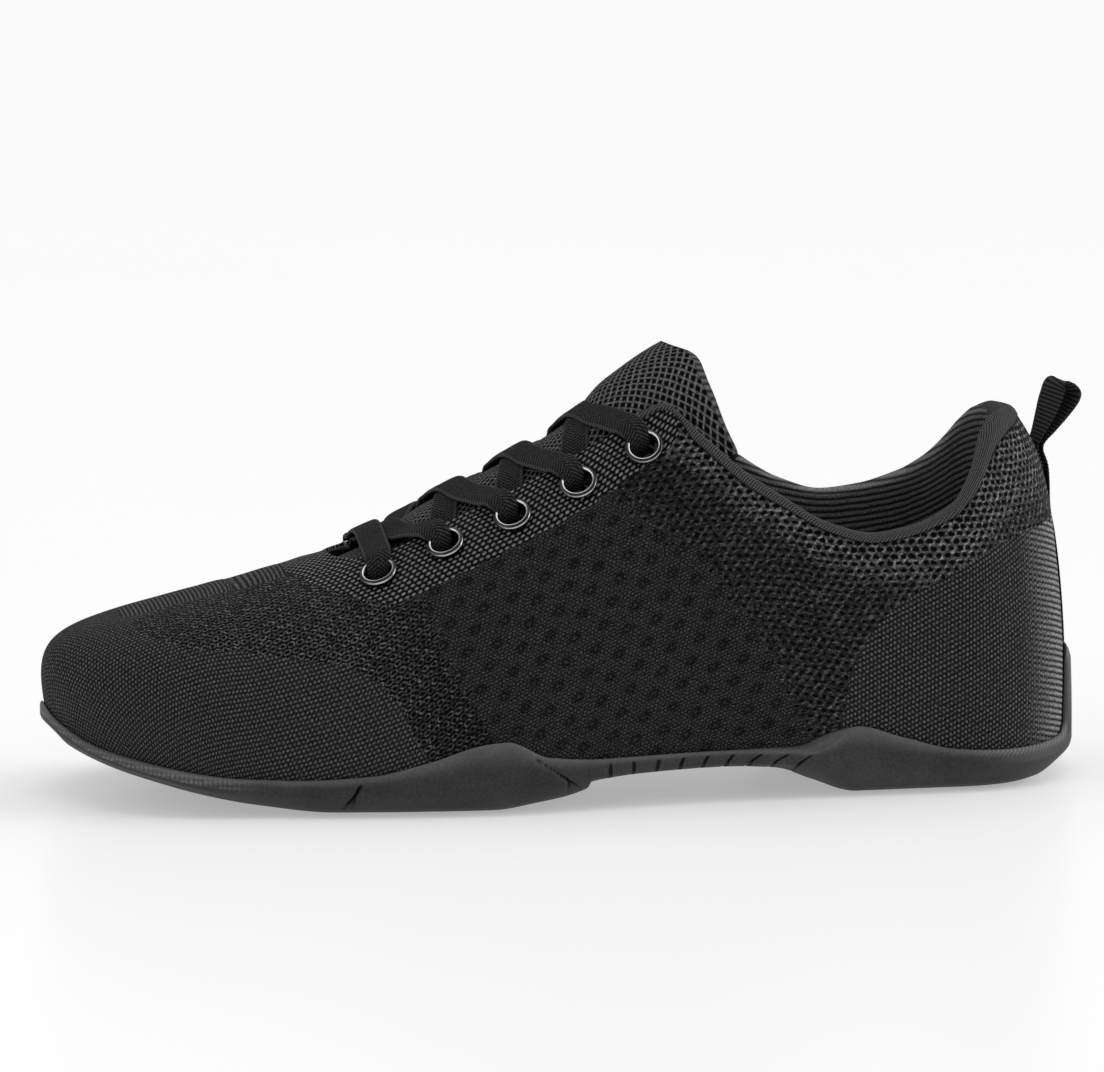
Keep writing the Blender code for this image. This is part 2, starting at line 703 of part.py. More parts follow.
def build_pull_loop(webbing, collection):
    path = loop_path()
    columns = []
    for point, twist in path:
        across = Vector((-math.sin(twist), math.cos(twist), 0.18 * math.sin(twist)))
        columns.append([point + across * (LOOP_WIDTH * share) for share in (-0.5, 0.0, 0.5)])
    mesh = mesh_of_columns("pull_loop", columns, closed=False)
    loop = new_object("pull_loop", mesh, webbing, collection)
    add_wall(loop, LOOP_THICK).offset = 0
    return loop


def main():
    for obj in list(bpy.data.objects):
        bpy.data.objects.remove(obj, do_unlink=True)
    shoe = bpy.data.collections.new("cheerleading_shoe")
    cutters = bpy.data.collections.new("cutters")
    for collection in (shoe, cutters):
        bpy.context.scene.collection.children.link(collection)
    knit = material("knit", (0.028, 0.029, 0.030), 0.85)
    tongue_mesh = material("tongue_mesh", (0.030, 0.030, 0.031), 0.8)
    rubber = material("rubber", (0.040, 0.041, 0.041), 0.55)
    foam = material("insole_cloth", (0.030, 0.030, 0.032), 0.9)
    cotton = material("lace", (0.024, 0.024, 0.025), 0.85)
    webbing = material("webbing", (0.022, 0.022, 0.023), 0.75)
    metal = material("eyelet_metal", (0.30, 0.30, 0.31), 0.3, metallic=1.0)
    build_sole(rubber, shoe)
    build_insole(foam, shoe)
    build_upper(knit, shoe, cutters)
    build_tongue(tongue_mesh, shoe)
    build_eyelets(metal, shoe)
    build_laces(cotton, shoe, cutters)
    build_pull_loop(webbing, shoe)


main()
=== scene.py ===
"""Looks of the cheerleading shoe: knitted upper, tongue, laces, eyelets, webbing and rubber.

Lengths are millimetres until a mesh is made. X runs from toe (-) to heel (+), Y from the outer side (-) to
the inner side (+), and Z up. "Travel" runs round the foot from the middle of the heel (0) to the tip of the
toe (292).
"""

import math

import bpy
import numpy as np
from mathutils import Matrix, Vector


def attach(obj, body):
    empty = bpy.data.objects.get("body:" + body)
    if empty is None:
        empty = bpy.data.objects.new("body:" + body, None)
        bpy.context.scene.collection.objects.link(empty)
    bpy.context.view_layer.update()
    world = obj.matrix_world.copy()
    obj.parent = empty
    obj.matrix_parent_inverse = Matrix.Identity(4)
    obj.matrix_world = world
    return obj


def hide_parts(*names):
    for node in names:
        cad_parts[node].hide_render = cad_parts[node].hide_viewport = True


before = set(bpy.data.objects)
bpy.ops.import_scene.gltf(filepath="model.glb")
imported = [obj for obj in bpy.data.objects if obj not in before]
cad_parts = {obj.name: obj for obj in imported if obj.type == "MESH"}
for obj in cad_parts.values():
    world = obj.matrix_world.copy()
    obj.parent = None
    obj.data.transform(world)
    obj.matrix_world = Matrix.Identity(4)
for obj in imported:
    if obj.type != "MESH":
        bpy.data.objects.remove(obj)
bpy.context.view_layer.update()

MM = 0.001
GAP = 0.3
OUTER, INNER = -1, 1
SIDE_NAMES = {OUTER: "outer", INNER: "inner"}

# The last, its section planes, and the sizes of the pieces, as in the solids
HEEL_PIVOT_X = 90.55
TOE_PIVOT_X = -81.45
HEEL_TRAVEL = 54.0
TOE_TRAVEL = 66.0
TOE_START = HEEL_TRAVEL + HEEL_PIVOT_X - TOE_PIVOT_X
TOE_TIP = TOE_START + TOE_TRAVEL
TOE_SWING = 5.0
SWING_START_X = -7.0
SPINE_Y = -1.7
WALL = 2.2
COLLAR_PAD = 3.0
BINDING_STEP = 0.8
THROAT_HALF = 15.0
THROAT_FRONT_X = -58.0
THROAT_ROUND = 12.0
COLLAR_TO_THROAT = (118.0, 129.0)
EYELETS_A_SIDE = 5
FIRST_EYELET_X = -48.5
EYELET_PITCH = 15.9
EYELET_RADIUS_AT = 22.0
TONGUE_TOE_X = -66.0
TONGUE_HALF = 25.0
TONGUE_THICK = 3.2
TONGUE_PAD = 2.6
SOLE_FLOOR_EDGE = 7.0
SOLE_EDGE_RISE = 1.7
SOLE_LEAST = 1.4
RIM_THICK = 0.9
TAB_EXTRA = 0.7
SLOT_COUNT = 9
FIRST_SLOT_X = 3.5
SLOT_PITCH = 5.8
SLOT_WIDTH = 0.8
INSOLE_THICK = 3.5
LOOP_WIDTH = 9.0
LOOP_THICK = 0.9
LOOP_TWIST = math.radians(22)
LOOP_BASE_Z = 79.0
TAPE_END_Z = 31.4


class Table:
    """Rows of sizes under named columns, read along the first column with a smooth curve through the rows."""

    def __init__(self, columns, rows):
        self.names = columns.split()
        self.keys = [row[0] for row in rows]
        self.values = list(zip(*rows))
        self.first, self.last = self.keys[0], self.keys[-1]

    def read(self, column, at):
        keys = self.keys
        values = self.values[self.names.index(column)]
        at = min(max(at, self.first), self.last)
        i = max(k for k in range(len(keys) - 1) if keys[k] <= at)
        width = keys[i + 1] - keys[i]
        share = (at - keys[i]) / width
        start, end = self.slope(values, i) * width, self.slope(values, i + 1) * width
        rise = values[i + 1] - values[i]
        return (values[i] + share * start
                + share ** 2 * (3 * rise - 2 * start - end)
                + share ** 3 * (start + end - 2 * rise))

    def slope(self, values, i):
        """The slope at a row: none at a peak, dip or end, and elsewhere gentle enough not to overshoot."""
        if i in (0, len(values) - 1):
            return 0.0
        before = (values[i] - values[i - 1]) / (self.keys[i] - self.keys[i - 1])
        after = (values[i + 1] - values[i]) / (self.keys[i + 1] - self.keys[i])
        if before * after <= 0:
            return 0.0
        return 2 * before * after / (before + after)


def named_rows(columns, rows):
    """Each row as a dictionary of its columns."""
    return [dict(zip(columns.split(), row)) for row in rows]


# The last: its radius at the bed on each side, and the handles of the curve from there up to the crown
LAST = Table("travel outer inner out rise crown_r crown_z spread drop", [
    (0, 33.6, 33.6, 0.0, 22, 16.5, 93.5, 16.0, 15),
    (18, 33.0, 33.0, 0.9, 22, 17, 93.5, 15.5, 15),
    (36, 32.4, 32.4, 2.4, 23, 17, 94.5, 13.5, 19),
    (54, 31.8, 31.5, 4.0, 23, 22, 99, 8, 28),
    (75, 32.4, 30.5, 4.0, 21, 28, 101, 2, 40),
    (96, 33.6, 28.0, 4.0, 23, 20, 107, 12, 34),
    (115, 35.2, 27.0, 4.2, 32, 2, 107, 30, 2),
    (128, 37.0, 28.0, 4.2, 31, 0, 98.4, 29.5, 0),
    (144, 39.5, 31.5, 4.4, 30, 0, 87.4, 29.5, 0),
    (160, 41.5, 36.0, 4.6, 28, 0, 78.0, 30, 0),
    (176, 42.8, 40.0, 4.6, 26, 0, 69.8, 31, 0),
    (190, 43.0, 41.5, 4.6, 25, 0, 62.4, 31, 0),
    (203, 42.4, 41.3, 4.6, 25, 0, 57.0, 30, 0),
    (215, 41.0, 40.2, 4.6, 25, 0, 53.4, 29, 0),
    (226, 39.4, 38.8, 4.6, 24, 0, 50.2, 30, 0),
    (248, 39.2, 39.8, 4.8, 24.2, 0, 44.0, 34, 4.6),
    (270, 41.7, 43.1, 4.2, 24, 0, 38.0, 38.5, 9.0),
    (292, 44.7, 44.7, 3.7, 22, 0, 32.0, 43, 11.6),
])

# The top edge of the collar on each side, and the width of the binding folded over it
COLLAR = Table("travel outer inner binding", [
    (0, 91.4, 91.4, 1.2),
    (14, 91.8, 91.2, 1.6),
    (26, 91.2, 89.0, 2.8),
    (34, 89.0, 85.2, 3.0),
    (40, 85.4, 80.8, 2.8),
    (48, 77.0, 75.0, 2.2),
    (56, 69.2, 70.8, 1.5),
    (65, 65.0, 67.8, 0.9),
    (75, 63.4, 66.6, 0.7),
    (86, 66.2, 69.8, 1.0),
    (98, 73.4, 77.0, 1.6),
    (107, 79.6, 82.8, 2.0),
    (116, 87.4, 89.4, 2.2),
    (120, 90.6, 91.4, 2.2),
    (124, 92.2, 92.4, 2.0),
    (130, 92.0, 92.0, 1.2),
])

# The sole along the foot: its underside, the bed that the foot stands on, the thickness of its side, and how
# far the features on that side lean forward for each millimetre that they rise
SOLE = Table("x tread bed side lean", [
    (-127.0, 15.8, 19.8, 0.9, 0.0),
    (-121.5, 12.4, 16.8, 1.4, 0.0),
    (-114.0, 9.7, 13.3, 1.9, 0.0),
    (-104.0, 7.0, 10.4, 2.2, 0.0),
    (-92.0, 4.2, 7.8, 2.4, 0.0),
    (-77.0, 1.4, 5.9, 2.5, 0.0),
    (-62.0, 0.0, 5.1, 2.5, 0.0),
    (-24.0, 0.0, 5.5, 2.5, 0.0),
    (-14.0, 1.3, 6.6, 2.5, 0.0),
    (-1.6, 4.0, 8.3, 2.4, 0.9),
    (-0.6, 5.6, 8.4, 1.5, 0.9),
    (10.0, 6.9, 9.4, 1.5, 0.0),
    (32.0, 7.4, 10.0, 1.5, -0.3),
    (46.0, 6.6, 9.4, 1.7, -0.7),
    (55.0, 3.4, 8.0, 2.4, -0.5),
    (66.0, 0.0, 6.8, 2.6, 0.0),
    (103.0, 0.0, 6.6, 2.6, 0.0),
    (112.0, 0.5, 6.8, 2.5, 0.0),
    (119.0, 2.8, 7.2, 2.2, 0.0),
    (127.0, 6.0, 7.8, 1.6, 0.0),
])

# The top edge of the sole's side: heel tab, heel wing, arch, ball wing and toe lip
RIM = Table("travel height", [
    (0, 31.0), (8, 30.8), (11, 28.5), (12.6, 22.0), (14, 13.0), (18, 10.6), (38, 9.8), (54, 10.6), (68, 14.0),
    (80, 17.2), (86, 16.0), (95, 12.8), (119, 12.6), (143, 12.4), (156, 13.4), (166, 17.4), (171, 17.0),
    (185, 12.9), (199, 9.8), (215, 8.9), (226, 9.2), (248, 11.8), (259, 13.6), (270, 15.8), (281, 19.2),
    (292, 22.4),
])

# Borders of the knitted zones on either side of the shoe
WING = Table("travel height", [
    (183, 12.0), (187, 18.0), (190, 25.0), (196, 31.5), (203, 35.0), (215, 36.4), (224, 37.8), (241, 38.6),
    (256, 40.4), (268, 42.0), (273, 44.0), (278, 60.0),
])
COUNTER = Table("travel height", [
    (0, 64.0), (16, 62.8), (33, 61.2), (46, 58.0), (57, 52.4), (65, 48.4), (71, 44.2), (76, 39.0), (80, 31.5),
    (83, 19.0), (85, 0.0),
])
QUARTER_BACK = Table("travel height", [
    (84, 6.0), (89, 12.0), (94, 22.0), (100, 34.0), (108, 47.0), (119, 60.5), (131, 69.0), (142, 76.0),
])
EYESTAY = Table("travel reach", [
    (110, 34.0), (124, 32.0), (141, 33.0), (161, 33.6), (182, 34.6), (189, 34.6), (195, 31.5), (202, 25.5),
    (208, 18.0), (214, 9.0),
])
QUARTER_FRONT = Table("height travel", [(8, 167), (18, 170), (28, 175), (41, 181), (52, 184)])
STRIP_REACH, STRIP_START, STRIP_AHEAD, STRIP_TAPER = 11.3, 213.0, 28.0, 0.12
COLLAR_OVER_EYESTAY = 121.0
BINDING_END = 133.0
COLLAR_PAD_ENDS = (88.0, 120.0)

# Soft creases of the upper: travel at the ridge and at the bed, depth, half width, and the shares of the way
# up that each one spans
CREASES = named_rows("ridge bed depth half low high", [
    (205.0, 187.0, 0.30, 3.2, 0.35, 0.95),
    (197.0, 178.0, 0.22, 2.8, 0.40, 0.80),
    (213.0, 200.0, 0.18, 3.0, 0.45, 0.95),
    (100.0, 92.0, 0.35, 5.0, 0.30, 0.75),
])

DIMPLE_ALONG, DIMPLE_UP, DIMPLE_SHIFT, DIMPLE_ZIGZAG = 6.4, 5.3, 2.2, 0.9


def smooth(value, low, high):
    """0 below low, 1 above high, and an even S between."""
    share = np.clip((value - low) / (high - low), 0.0, 1.0)
    return share * share * (3 - 2 * share)


def fall(value, low, high):
    """1 below low, 0 above high, and an even S between."""
    return 1 - smooth(value, low, high)


def unit(vectors):
    return vectors / np.linalg.norm(vectors, axis=-1, keepdims=True)


def run_along(path):
    """How far along a path each of its points is."""
    return np.concatenate(((0.0,), np.cumsum(np.linalg.norm(np.diff(path, axis=0), axis=1))))


def plane_at(travel):
    """The pivot's X and the turn of a section plane: 0 looks to the heel, a half turn to the toe."""
    if travel < HEEL_TRAVEL:
        return HEEL_PIVOT_X, math.pi / 2 * travel / HEEL_TRAVEL
    if travel < TOE_START:
        return HEEL_PIVOT_X - (travel - HEEL_TRAVEL), math.pi / 2
    return TOE_PIVOT_X, math.pi / 2 * (1 + (travel - TOE_START) / TOE_TRAVEL)


def travel_at(x):
    """The travel of the plane straight across the foot at x, between the pivots."""
    return HEEL_TRAVEL + HEEL_PIVOT_X - x


def steps(start, stop, count):
    return [start + (stop - start) * i / count for i in range(count + 1)]


def spread(*runs):
    """Steps through several (start, stop, pitch) runs that follow on from one another."""
    values = []
    for start, stop, pitch in runs:
        values += steps(start, stop, max(1, round(abs(stop - start) / pitch)))[:-1]
    return values + [runs[-1][1]]


def round_foot(travels):
    """(travel, side) of the sections round the foot: by the outer side to the toe and back by the inner."""
    return [(t, OUTER) for t in travels] + [(t, INNER) for t in travels[-2:0:-1]]


class Section:
    """One section of the last: a curve in its plane from the bed (t = 0) to the crown (t = 1)."""

    kept = {}

    def __init__(self, travel, side):
        pivot_x, self.turn = plane_at(travel)
        swing = TOE_SWING * smooth(-pivot_x, -SWING_START_X, -TOE_PIVOT_X)
        self.travel, self.side, self.x = travel, side, pivot_x
        self.origin = np.array((pivot_x, SPINE_Y + swing, 0.0))
        self.axis = np.array((math.cos(self.turn), side * math.sin(self.turn), 0.0))
        self.edge = LAST.read(SIDE_NAMES[side], travel)
        self.bed = SOLE.read("bed", self.flat(self.edge)[0])
        first = np.array((self.edge, self.bed))
        fourth = np.array((LAST.read("crown_r", travel), LAST.read("crown_z", min(travel, TOE_START))))
        second = first + (LAST.read("out", travel), LAST.read("rise", travel))
        third = fourth + (LAST.read("spread", travel), -LAST.read("drop", travel))
        self.handles = first, second, third, fourth
        self.shares = np.linspace(0, 1, 241)
        self.line, _ = self.curve(self.shares)
        self.lengths = run_along(self.line)

    @classmethod
    def at(cls, travel, side):
        key = round(travel, 3), side
        if key not in cls.kept:
            cls.kept[key] = cls(travel, side)
        return cls.kept[key]

    def flat(self, radius, height=0.0):
        return self.origin + self.axis * radius + np.array((0.0, 0.0, height))

    def curve(self, t):
        """Points in the plane and the directions that point out of the shoe there."""
        t = np.asarray(t, float)[:, None]
        first, second, third, fourth = self.handles
        s = 1 - t
        points = first * s ** 3 + second * (3 * s * s * t) + third * (3 * s * t * t) + fourth * t ** 3
        along = (second - first) * s * s + (third - second) * (2 * s * t) + (fourth - third) * t * t
        out = np.stack((along[:, 1], -along[:, 0]), axis=1)
        return points, unit(out)

    def lift(self, points):
        return self.origin + points[:, :1] * self.axis + points[:, 1:] * np.array((0.0, 0.0, 1.0))

    def points(self, t, offset=0.0):
        points, out = self.curve(np.atleast_1d(t))
        return self.lift(points + out * np.broadcast_to(offset, len(points))[:, None])

    def point(self, t, offset=0.0):
        return self.points([t], offset)[0]

    def t_where(self, column, wanted, good):
        """Where a column of the line reaches the wanted value, next to the first point that isn't good."""
        bad = np.nonzero(~good)[0]
        i = bad[0] if len(bad) else len(good) - 1
        if i == 0:
            return 0.0
        low, high = self.line[i - 1:i + 1, column]
        share = 1.0 if high == low else min(max((wanted - low) / (high - low), 0.0), 1.0)
        return self.shares[i - 1] + (self.shares[i] - self.shares[i - 1]) * share

    def t_radius(self, radius):
        return self.t_where(0, radius, self.line[:, 0] > radius)

    def t_height(self, height):
        return self.t_where(1, height, self.line[:, 1] < height)

    def length(self, t):
        return np.interp(t, self.shares, self.lengths)

    def t_length(self, length):
        return np.interp(length, self.lengths, self.shares)


def throat_half(x):
    """Half the width of the lacing gap, which closes in a round end at its front."""
    into = min(max((x - THROAT_FRONT_X) / THROAT_ROUND, 0.0), 1.0)
    return THROAT_HALF * math.sqrt(1 - (1 - into) ** 2)


def t_top(section, lower=0.0):
    """Where the upper stops, by lower short of its edge: collar, then throat, then the toe's closed ridge."""
    collar_end, throat_start = COLLAR_TO_THROAT
    travel = section.travel
    if travel >= travel_at(THROAT_FRONT_X):
        return 1.0
    height = COLLAR.read(SIDE_NAMES[section.side], travel) - lower
    by_height = section.t_height(height)
    if travel <= collar_end:
        return by_height
    by_radius = section.t_radius(throat_half(section.x) + lower)
    share = smooth(travel, collar_end, throat_start)
    return by_height * (1 - share) + by_radius * share


def collar_pad(travel, share):
    """How much of the collar's padding is under a point, from its share of the way up the section."""
    return fall(travel, *COLLAR_PAD_ENDS) * smooth(share, 0.5, 0.85)


# Making meshes
def add_object(name, data, facing=None):
    """An object in the scene, with its Z axis turned to a direction if one is given."""
    made = bpy.data.objects.new(name, data)
    if facing is not None:
        made.rotation_mode = "QUATERNION"
        made.rotation_quaternion = facing.to_track_quat("Z", "Y")
    bpy.context.scene.collection.objects.link(made)
    return made


def make_piece(name, points, faces, materials, places=None, zones=None, smooth_shade=True):
    """A mesh object, with values at its points for the materials and the number of each face's material."""
    mesh = bpy.data.meshes.new(name)
    mesh.from_pydata((np.asarray(points) * MM).tolist(), [], faces)
    for material in materials:
        mesh.materials.append(material)
    if smooth_shade:
        mesh.shade_smooth()
    if zones is not None:
        mesh.polygons.foreach_set("material_index", zones)
    for place, values in (places or {}).items():
        attribute = mesh.attributes.new(place, "FLOAT", "POINT")
        attribute.data.foreach_set("value", np.asarray(values, np.float32).ravel())
    return add_object(name, mesh)


def round_off(piece, levels):
    """Round a piece's edges by subdivision."""
    rounding = piece.modifiers.new("rounding", "SUBSURF")
    rounding.levels = rounding.render_levels = levels


def grid_faces(ids, closed_along=False, closed_across=False, skip=None):
    """Faces between neighbouring columns and rows of point numbers, without doubled corners."""
    columns, rows = ids.shape
    faces, cells = [], []
    for i in range(columns if closed_along else columns - 1):
        j = (i + 1) % columns
        for k in range(rows if closed_across else rows - 1):
            m = (k + 1) % rows
            if skip is not None and skip[i, k]:
                continue
            corners = [ids[i, k], ids[j, k], ids[j, m], ids[i, m]]
            corners = [c for n, c in enumerate(corners) if c != corners[n - 1]]
            if len(corners) >= 3:
                faces.append([int(c) for c in corners])
                cells.append((i, k))
    return faces, cells


def drop_unused(points, faces, columns):
    """Points that a face uses, the faces renumbered, and each column of values cut to match."""
    used = np.unique(np.concatenate([np.asarray(f) for f in faces]))
    renumber = np.full(len(points), -1)
    renumber[used] = np.arange(len(used))
    faces = [[int(renumber[c]) for c in face] for face in faces]
    return points[used], faces, {name: np.asarray(values)[used] for name, values in columns.items()}


def foot_faces(order, rows):
    """Faces between columns round the foot whose first and last points meet along its middle."""
    ids = np.arange(len(order) * rows).reshape(len(order), rows)
    toe = next(i for i, (travel, _) in enumerate(order) if travel >= TOE_START)
    outer = {travel: i for i, (travel, side) in enumerate(order) if side == OUTER}
    for i, (travel, _) in enumerate(order):
        twin = 0 if travel <= HEEL_TRAVEL else toe if travel >= TOE_START else outer[travel]
        ids[i, 0], ids[i, -1] = ids[twin, 0], ids[twin, -1]
    faces, _ = grid_faces(ids, closed_along=True)
    return faces


def through(points, per_span):
    """A smooth line through the points, with that many steps for each span."""
    points = np.asarray(points, float)
    padded = np.vstack((2 * points[0] - points[1], points, 2 * points[-1] - points[-2]))
    out = []
    for i in range(len(points) - 1):
        a, b, c, d = padded[i:i + 4]
        for s in np.arange(per_span) / per_span:
            out.append(0.5 * (2 * b + (c - a) * s + (2 * a - 5 * b + 4 * c - d) * s * s
                              + (3 * b - a - 3 * c + d) * s ** 3))
    return np.array(out + [points[-1]])


def ribbon(path, across, width, thick, corners=22, square=0.42):
    """Points, faces and places of a band with rounded edges, swept along a path.

    across is the direction of its width at each step, and width and thick are its sizes there.
    """
    count = len(path)
    tangent = unit(np.gradient(path, axis=0))
    across = unit(across - (across * tangent).sum(1, keepdims=True) * tangent)
    normal = np.cross(tangent, across)
    angle = np.linspace(0, 2 * math.pi, corners, endpoint=False)
    wide = np.sign(np.cos(angle)) * np.abs(np.cos(angle)) ** square
    high = np.sign(np.sin(angle)) * np.abs(np.sin(angle)) ** (square + 0.25)
    width, thick = np.broadcast_to(width, count), np.broadcast_to(thick, count)
    points = (path[:, None] + across[:, None] * (wide[None, :, None] * width[:, None, None] / 2)
              + normal[:, None] * (high[None, :, None] * thick[:, None, None] / 2))
    ids = np.arange(count * corners).reshape(count, corners)
    faces, _ = grid_faces(ids, closed_across=True)
    faces += [ids[0].tolist()[::-1], ids[-1].tolist()]
    places = {"along": np.repeat(run_along(path), corners),
              "across": (wide[None] * width[:, None] / 2).ravel()}
    return points.reshape(-1, 3), faces, places


def join_parts(parts):
    """One set of points, faces and places from several."""
    points, faces, places, start = [], [], {}, 0
    for part_points, part_faces, part_places in parts:
        points.append(part_points)
        faces += [[c + start for c in face] for face in part_faces]
        for name, values in part_places.items():
            places.setdefault(name, []).append(values)
        start += len(part_points)
    return np.vstack(points), faces, {name: np.concatenate(values) for name, values in places.items()}


# Making materials from arithmetic on node sockets
class Term:
    """A value in a material's nodes that can be added, multiplied and so on."""

    def __init__(self, paint, socket):
        self.paint, self.socket = paint, socket

    def op(self, operation, *others):
        node = self.paint.nodes.new("ShaderNodeMath")
        node.operation = operation
        for k, value in enumerate((self, *others)):
            self.paint.put(value, node.inputs[k])
        return Term(self.paint, node.outputs[0])

    def __add__(self, other):
        return self.op("ADD", other)

    def __sub__(self, other):
        return self.op("SUBTRACT", other)

    def __rsub__(self, other):
        return self.op("MULTIPLY", -1.0) + other

    def __mul__(self, other):
        return self.op("MULTIPLY", other)

    def __truediv__(self, other):
        return self.op("DIVIDE", other)

    def wave(self):
        """Cosine with a period of 1."""
        return (self * (2 * math.pi)).op("COSINE")

    def ripple(self, least=0.0):
        """Waves between least and 1 with a period of 1."""
        return self.wave() * ((1 - least) / 2) + (1 + least) / 2

    def from_half(self):
        """The distance to the nearest point half way between whole numbers."""
        return (self.op("FRACT") - 0.5).op("ABSOLUTE")

    def rise(self, low, high, to_low=0.0, to_high=1.0):
        node = self.paint.nodes.new("ShaderNodeMapRange")
        node.interpolation_type = "SMOOTHSTEP"
        for name, value in (("Value", self), ("From Min", low), ("From Max", high),
                            ("To Min", to_low), ("To Max", to_high)):
            self.paint.put(value, node.inputs[name])
        return Term(self.paint, node.outputs["Result"])


class Paint:
    """A material whose colour and relief come from heights over the surface."""

    def __init__(self, name, roughness=0.75, metallic=0.0, specular=0.06):
        self.material = bpy.data.materials.new(name)
        self.material.use_nodes = True
        self.tree = self.material.node_tree
        self.nodes = self.tree.nodes
        self.shader = self.nodes["Principled BSDF"]
        self.shader.inputs["Roughness"].default_value = roughness
        self.shader.inputs["Metallic"].default_value = metallic
        self.shader.inputs["Specular IOR Level"].default_value = specular

    def put(self, value, socket):
        if isinstance(value, Term):
            self.tree.links.new(value.socket, socket)
        else:
            socket.default_value = value

    def place(self, name):
        node = self.nodes.new("ShaderNodeAttribute")
        node.attribute_name = name
        return Term(self, node.outputs["Fac"])

    def vector(self, *terms):
        node = self.nodes.new("ShaderNodeCombineXYZ")
        for k, value in enumerate(terms):
            self.put(value, node.inputs[k])
        return node.outputs[0]

    def position(self):
        """X, Y and Z on the object, in millimetres."""
        node = self.nodes.new("ShaderNodeTexCoord")
        split = self.nodes.new("ShaderNodeSeparateXYZ")
        self.tree.links.new(node.outputs["Object"], split.inputs[0])
        return [Term(self, split.outputs[k]) * (1 / MM) for k in range(3)]

    def noise(self, vector, scale, detail=2.0):
        node = self.nodes.new("ShaderNodeTexNoise")
        self.tree.links.new(vector, node.inputs["Vector"])
        node.inputs["Scale"].default_value = scale
        node.inputs["Detail"].default_value = detail
        return Term(self, node.outputs["Fac"])

    def colour(self, height, low, high):
        """From the low colour to the high one, over a height from 0 to 1."""
        node = self.nodes.new("ShaderNodeMix")
        node.data_type = "RGBA"
        self.put(height, node.inputs["Factor"])
        colours = [s for s in node.inputs if s.type == "RGBA"]
        colours[0].default_value = (*low, 1)
        colours[1].default_value = (*high, 1)
        made = [s for s in node.outputs if s.type == "RGBA"][0]
        self.tree.links.new(made, self.shader.inputs["Base Color"])

    def relief(self, height, depth):
        node = self.nodes.new("ShaderNodeBump")
        node.inputs["Strength"].default_value = 1.0
        node.inputs["Distance"].default_value = depth * MM
        self.put(height, node.inputs["Height"])
        self.tree.links.new(node.outputs["Normal"], self.shader.inputs["Normal"])

    def finish(self, height, low, high, depth):
        self.colour(height, low, high)
        self.relief(height, depth)
        return self.material


HOLLOW = (0.0006, 0.0006, 0.0007)


def grey(value, tint=1.02):
    return value, value, value * tint


def cloth(name, across):
    """A material, the places along and across its cloth, and both as one vector."""
    paint = Paint(name)
    u, v = paint.place("along"), paint.place(across)
    return paint, u, v, paint.vector(u, v, 0.0)


def turned(u, v, turn):
    """The same place in axes turned by an angle on the surface."""
    c, s = math.cos(turn), math.sin(turn)
    return u * c + v * s, v * c - u * s


def warped(paint, u, v, by, scale=0.8):
    """The same place pushed about by up to half of by, as yarn shifts in a loose knit."""
    one = paint.noise(paint.vector(u, v, 0.0), scale) - 0.5
    two = paint.noise(paint.vector(v + 37.0, u - 11.0, 5.0), scale) - 0.5
    return u + one * by, v + two * by


def cells(u, v, pitch, row_pitch):
    """A place in staggered rows of stitches: from -0.5 to 0.5 along and across the nearest stitch."""
    q = v / row_pitch
    row = q.op("ROUND")
    p = u / pitch + row * 0.5
    return p - p.op("ROUND"), q - row


def oval(a, b, wide, high):
    """How far a place is from a stitch's middle, 1 on the oval with those half axes."""
    return (a * a * wide ** -2 + b * b * high ** -2).op("SQRT")


def specks(paint, where, scale=1.5):
    """Uneven gleam of the yarn's fibres, about 0.3 to 1.3."""
    return paint.noise(where, scale, 3.0).rise(0.28, 0.72) + 0.3


def knit_fine(name, across, row_pitch, tone, turn=0.0, bars_fade=None):
    """Close fine knit in rows, turned by an angle, that starts as bars at the back of the heel if asked."""
    paint, u, v, where = cloth(name, across)
    warped_u, warped_v = warped(paint, u, v, by=0.55)
    a, b = cells(*turned(warped_u, warped_v, turn), 1.05, row_pitch)
    height = (1.0 - oval(a, b, 0.42, 0.40).rise(0.2, 1.2)) * 0.92 + 0.08
    if bars_fade is not None:
        bars = ((warped_v - u * 0.25) / 1.45).ripple()
        here = u.rise(*bars_fade)
        height = height * (here * 0.22 + 0.05) + bars * (1.0 - here) * u.rise(0.0, 17.0, 0.26, 0.85)
    return paint.finish(height * specks(paint, where), HOLLOW, grey(tone), depth=0.30)


def knit_strip():
    """Fine ribs across the top of the vamp."""
    paint, u, v, where = cloth("knit_strip", "spine")
    warped_u, _ = warped(paint, u, v, by=0.4)
    height = (warped_u / 1.05).ripple() * (v / 0.9).ripple(0.6) * specks(paint, where)
    return paint.finish(height, HOLLOW, grey(0.140), depth=0.35)


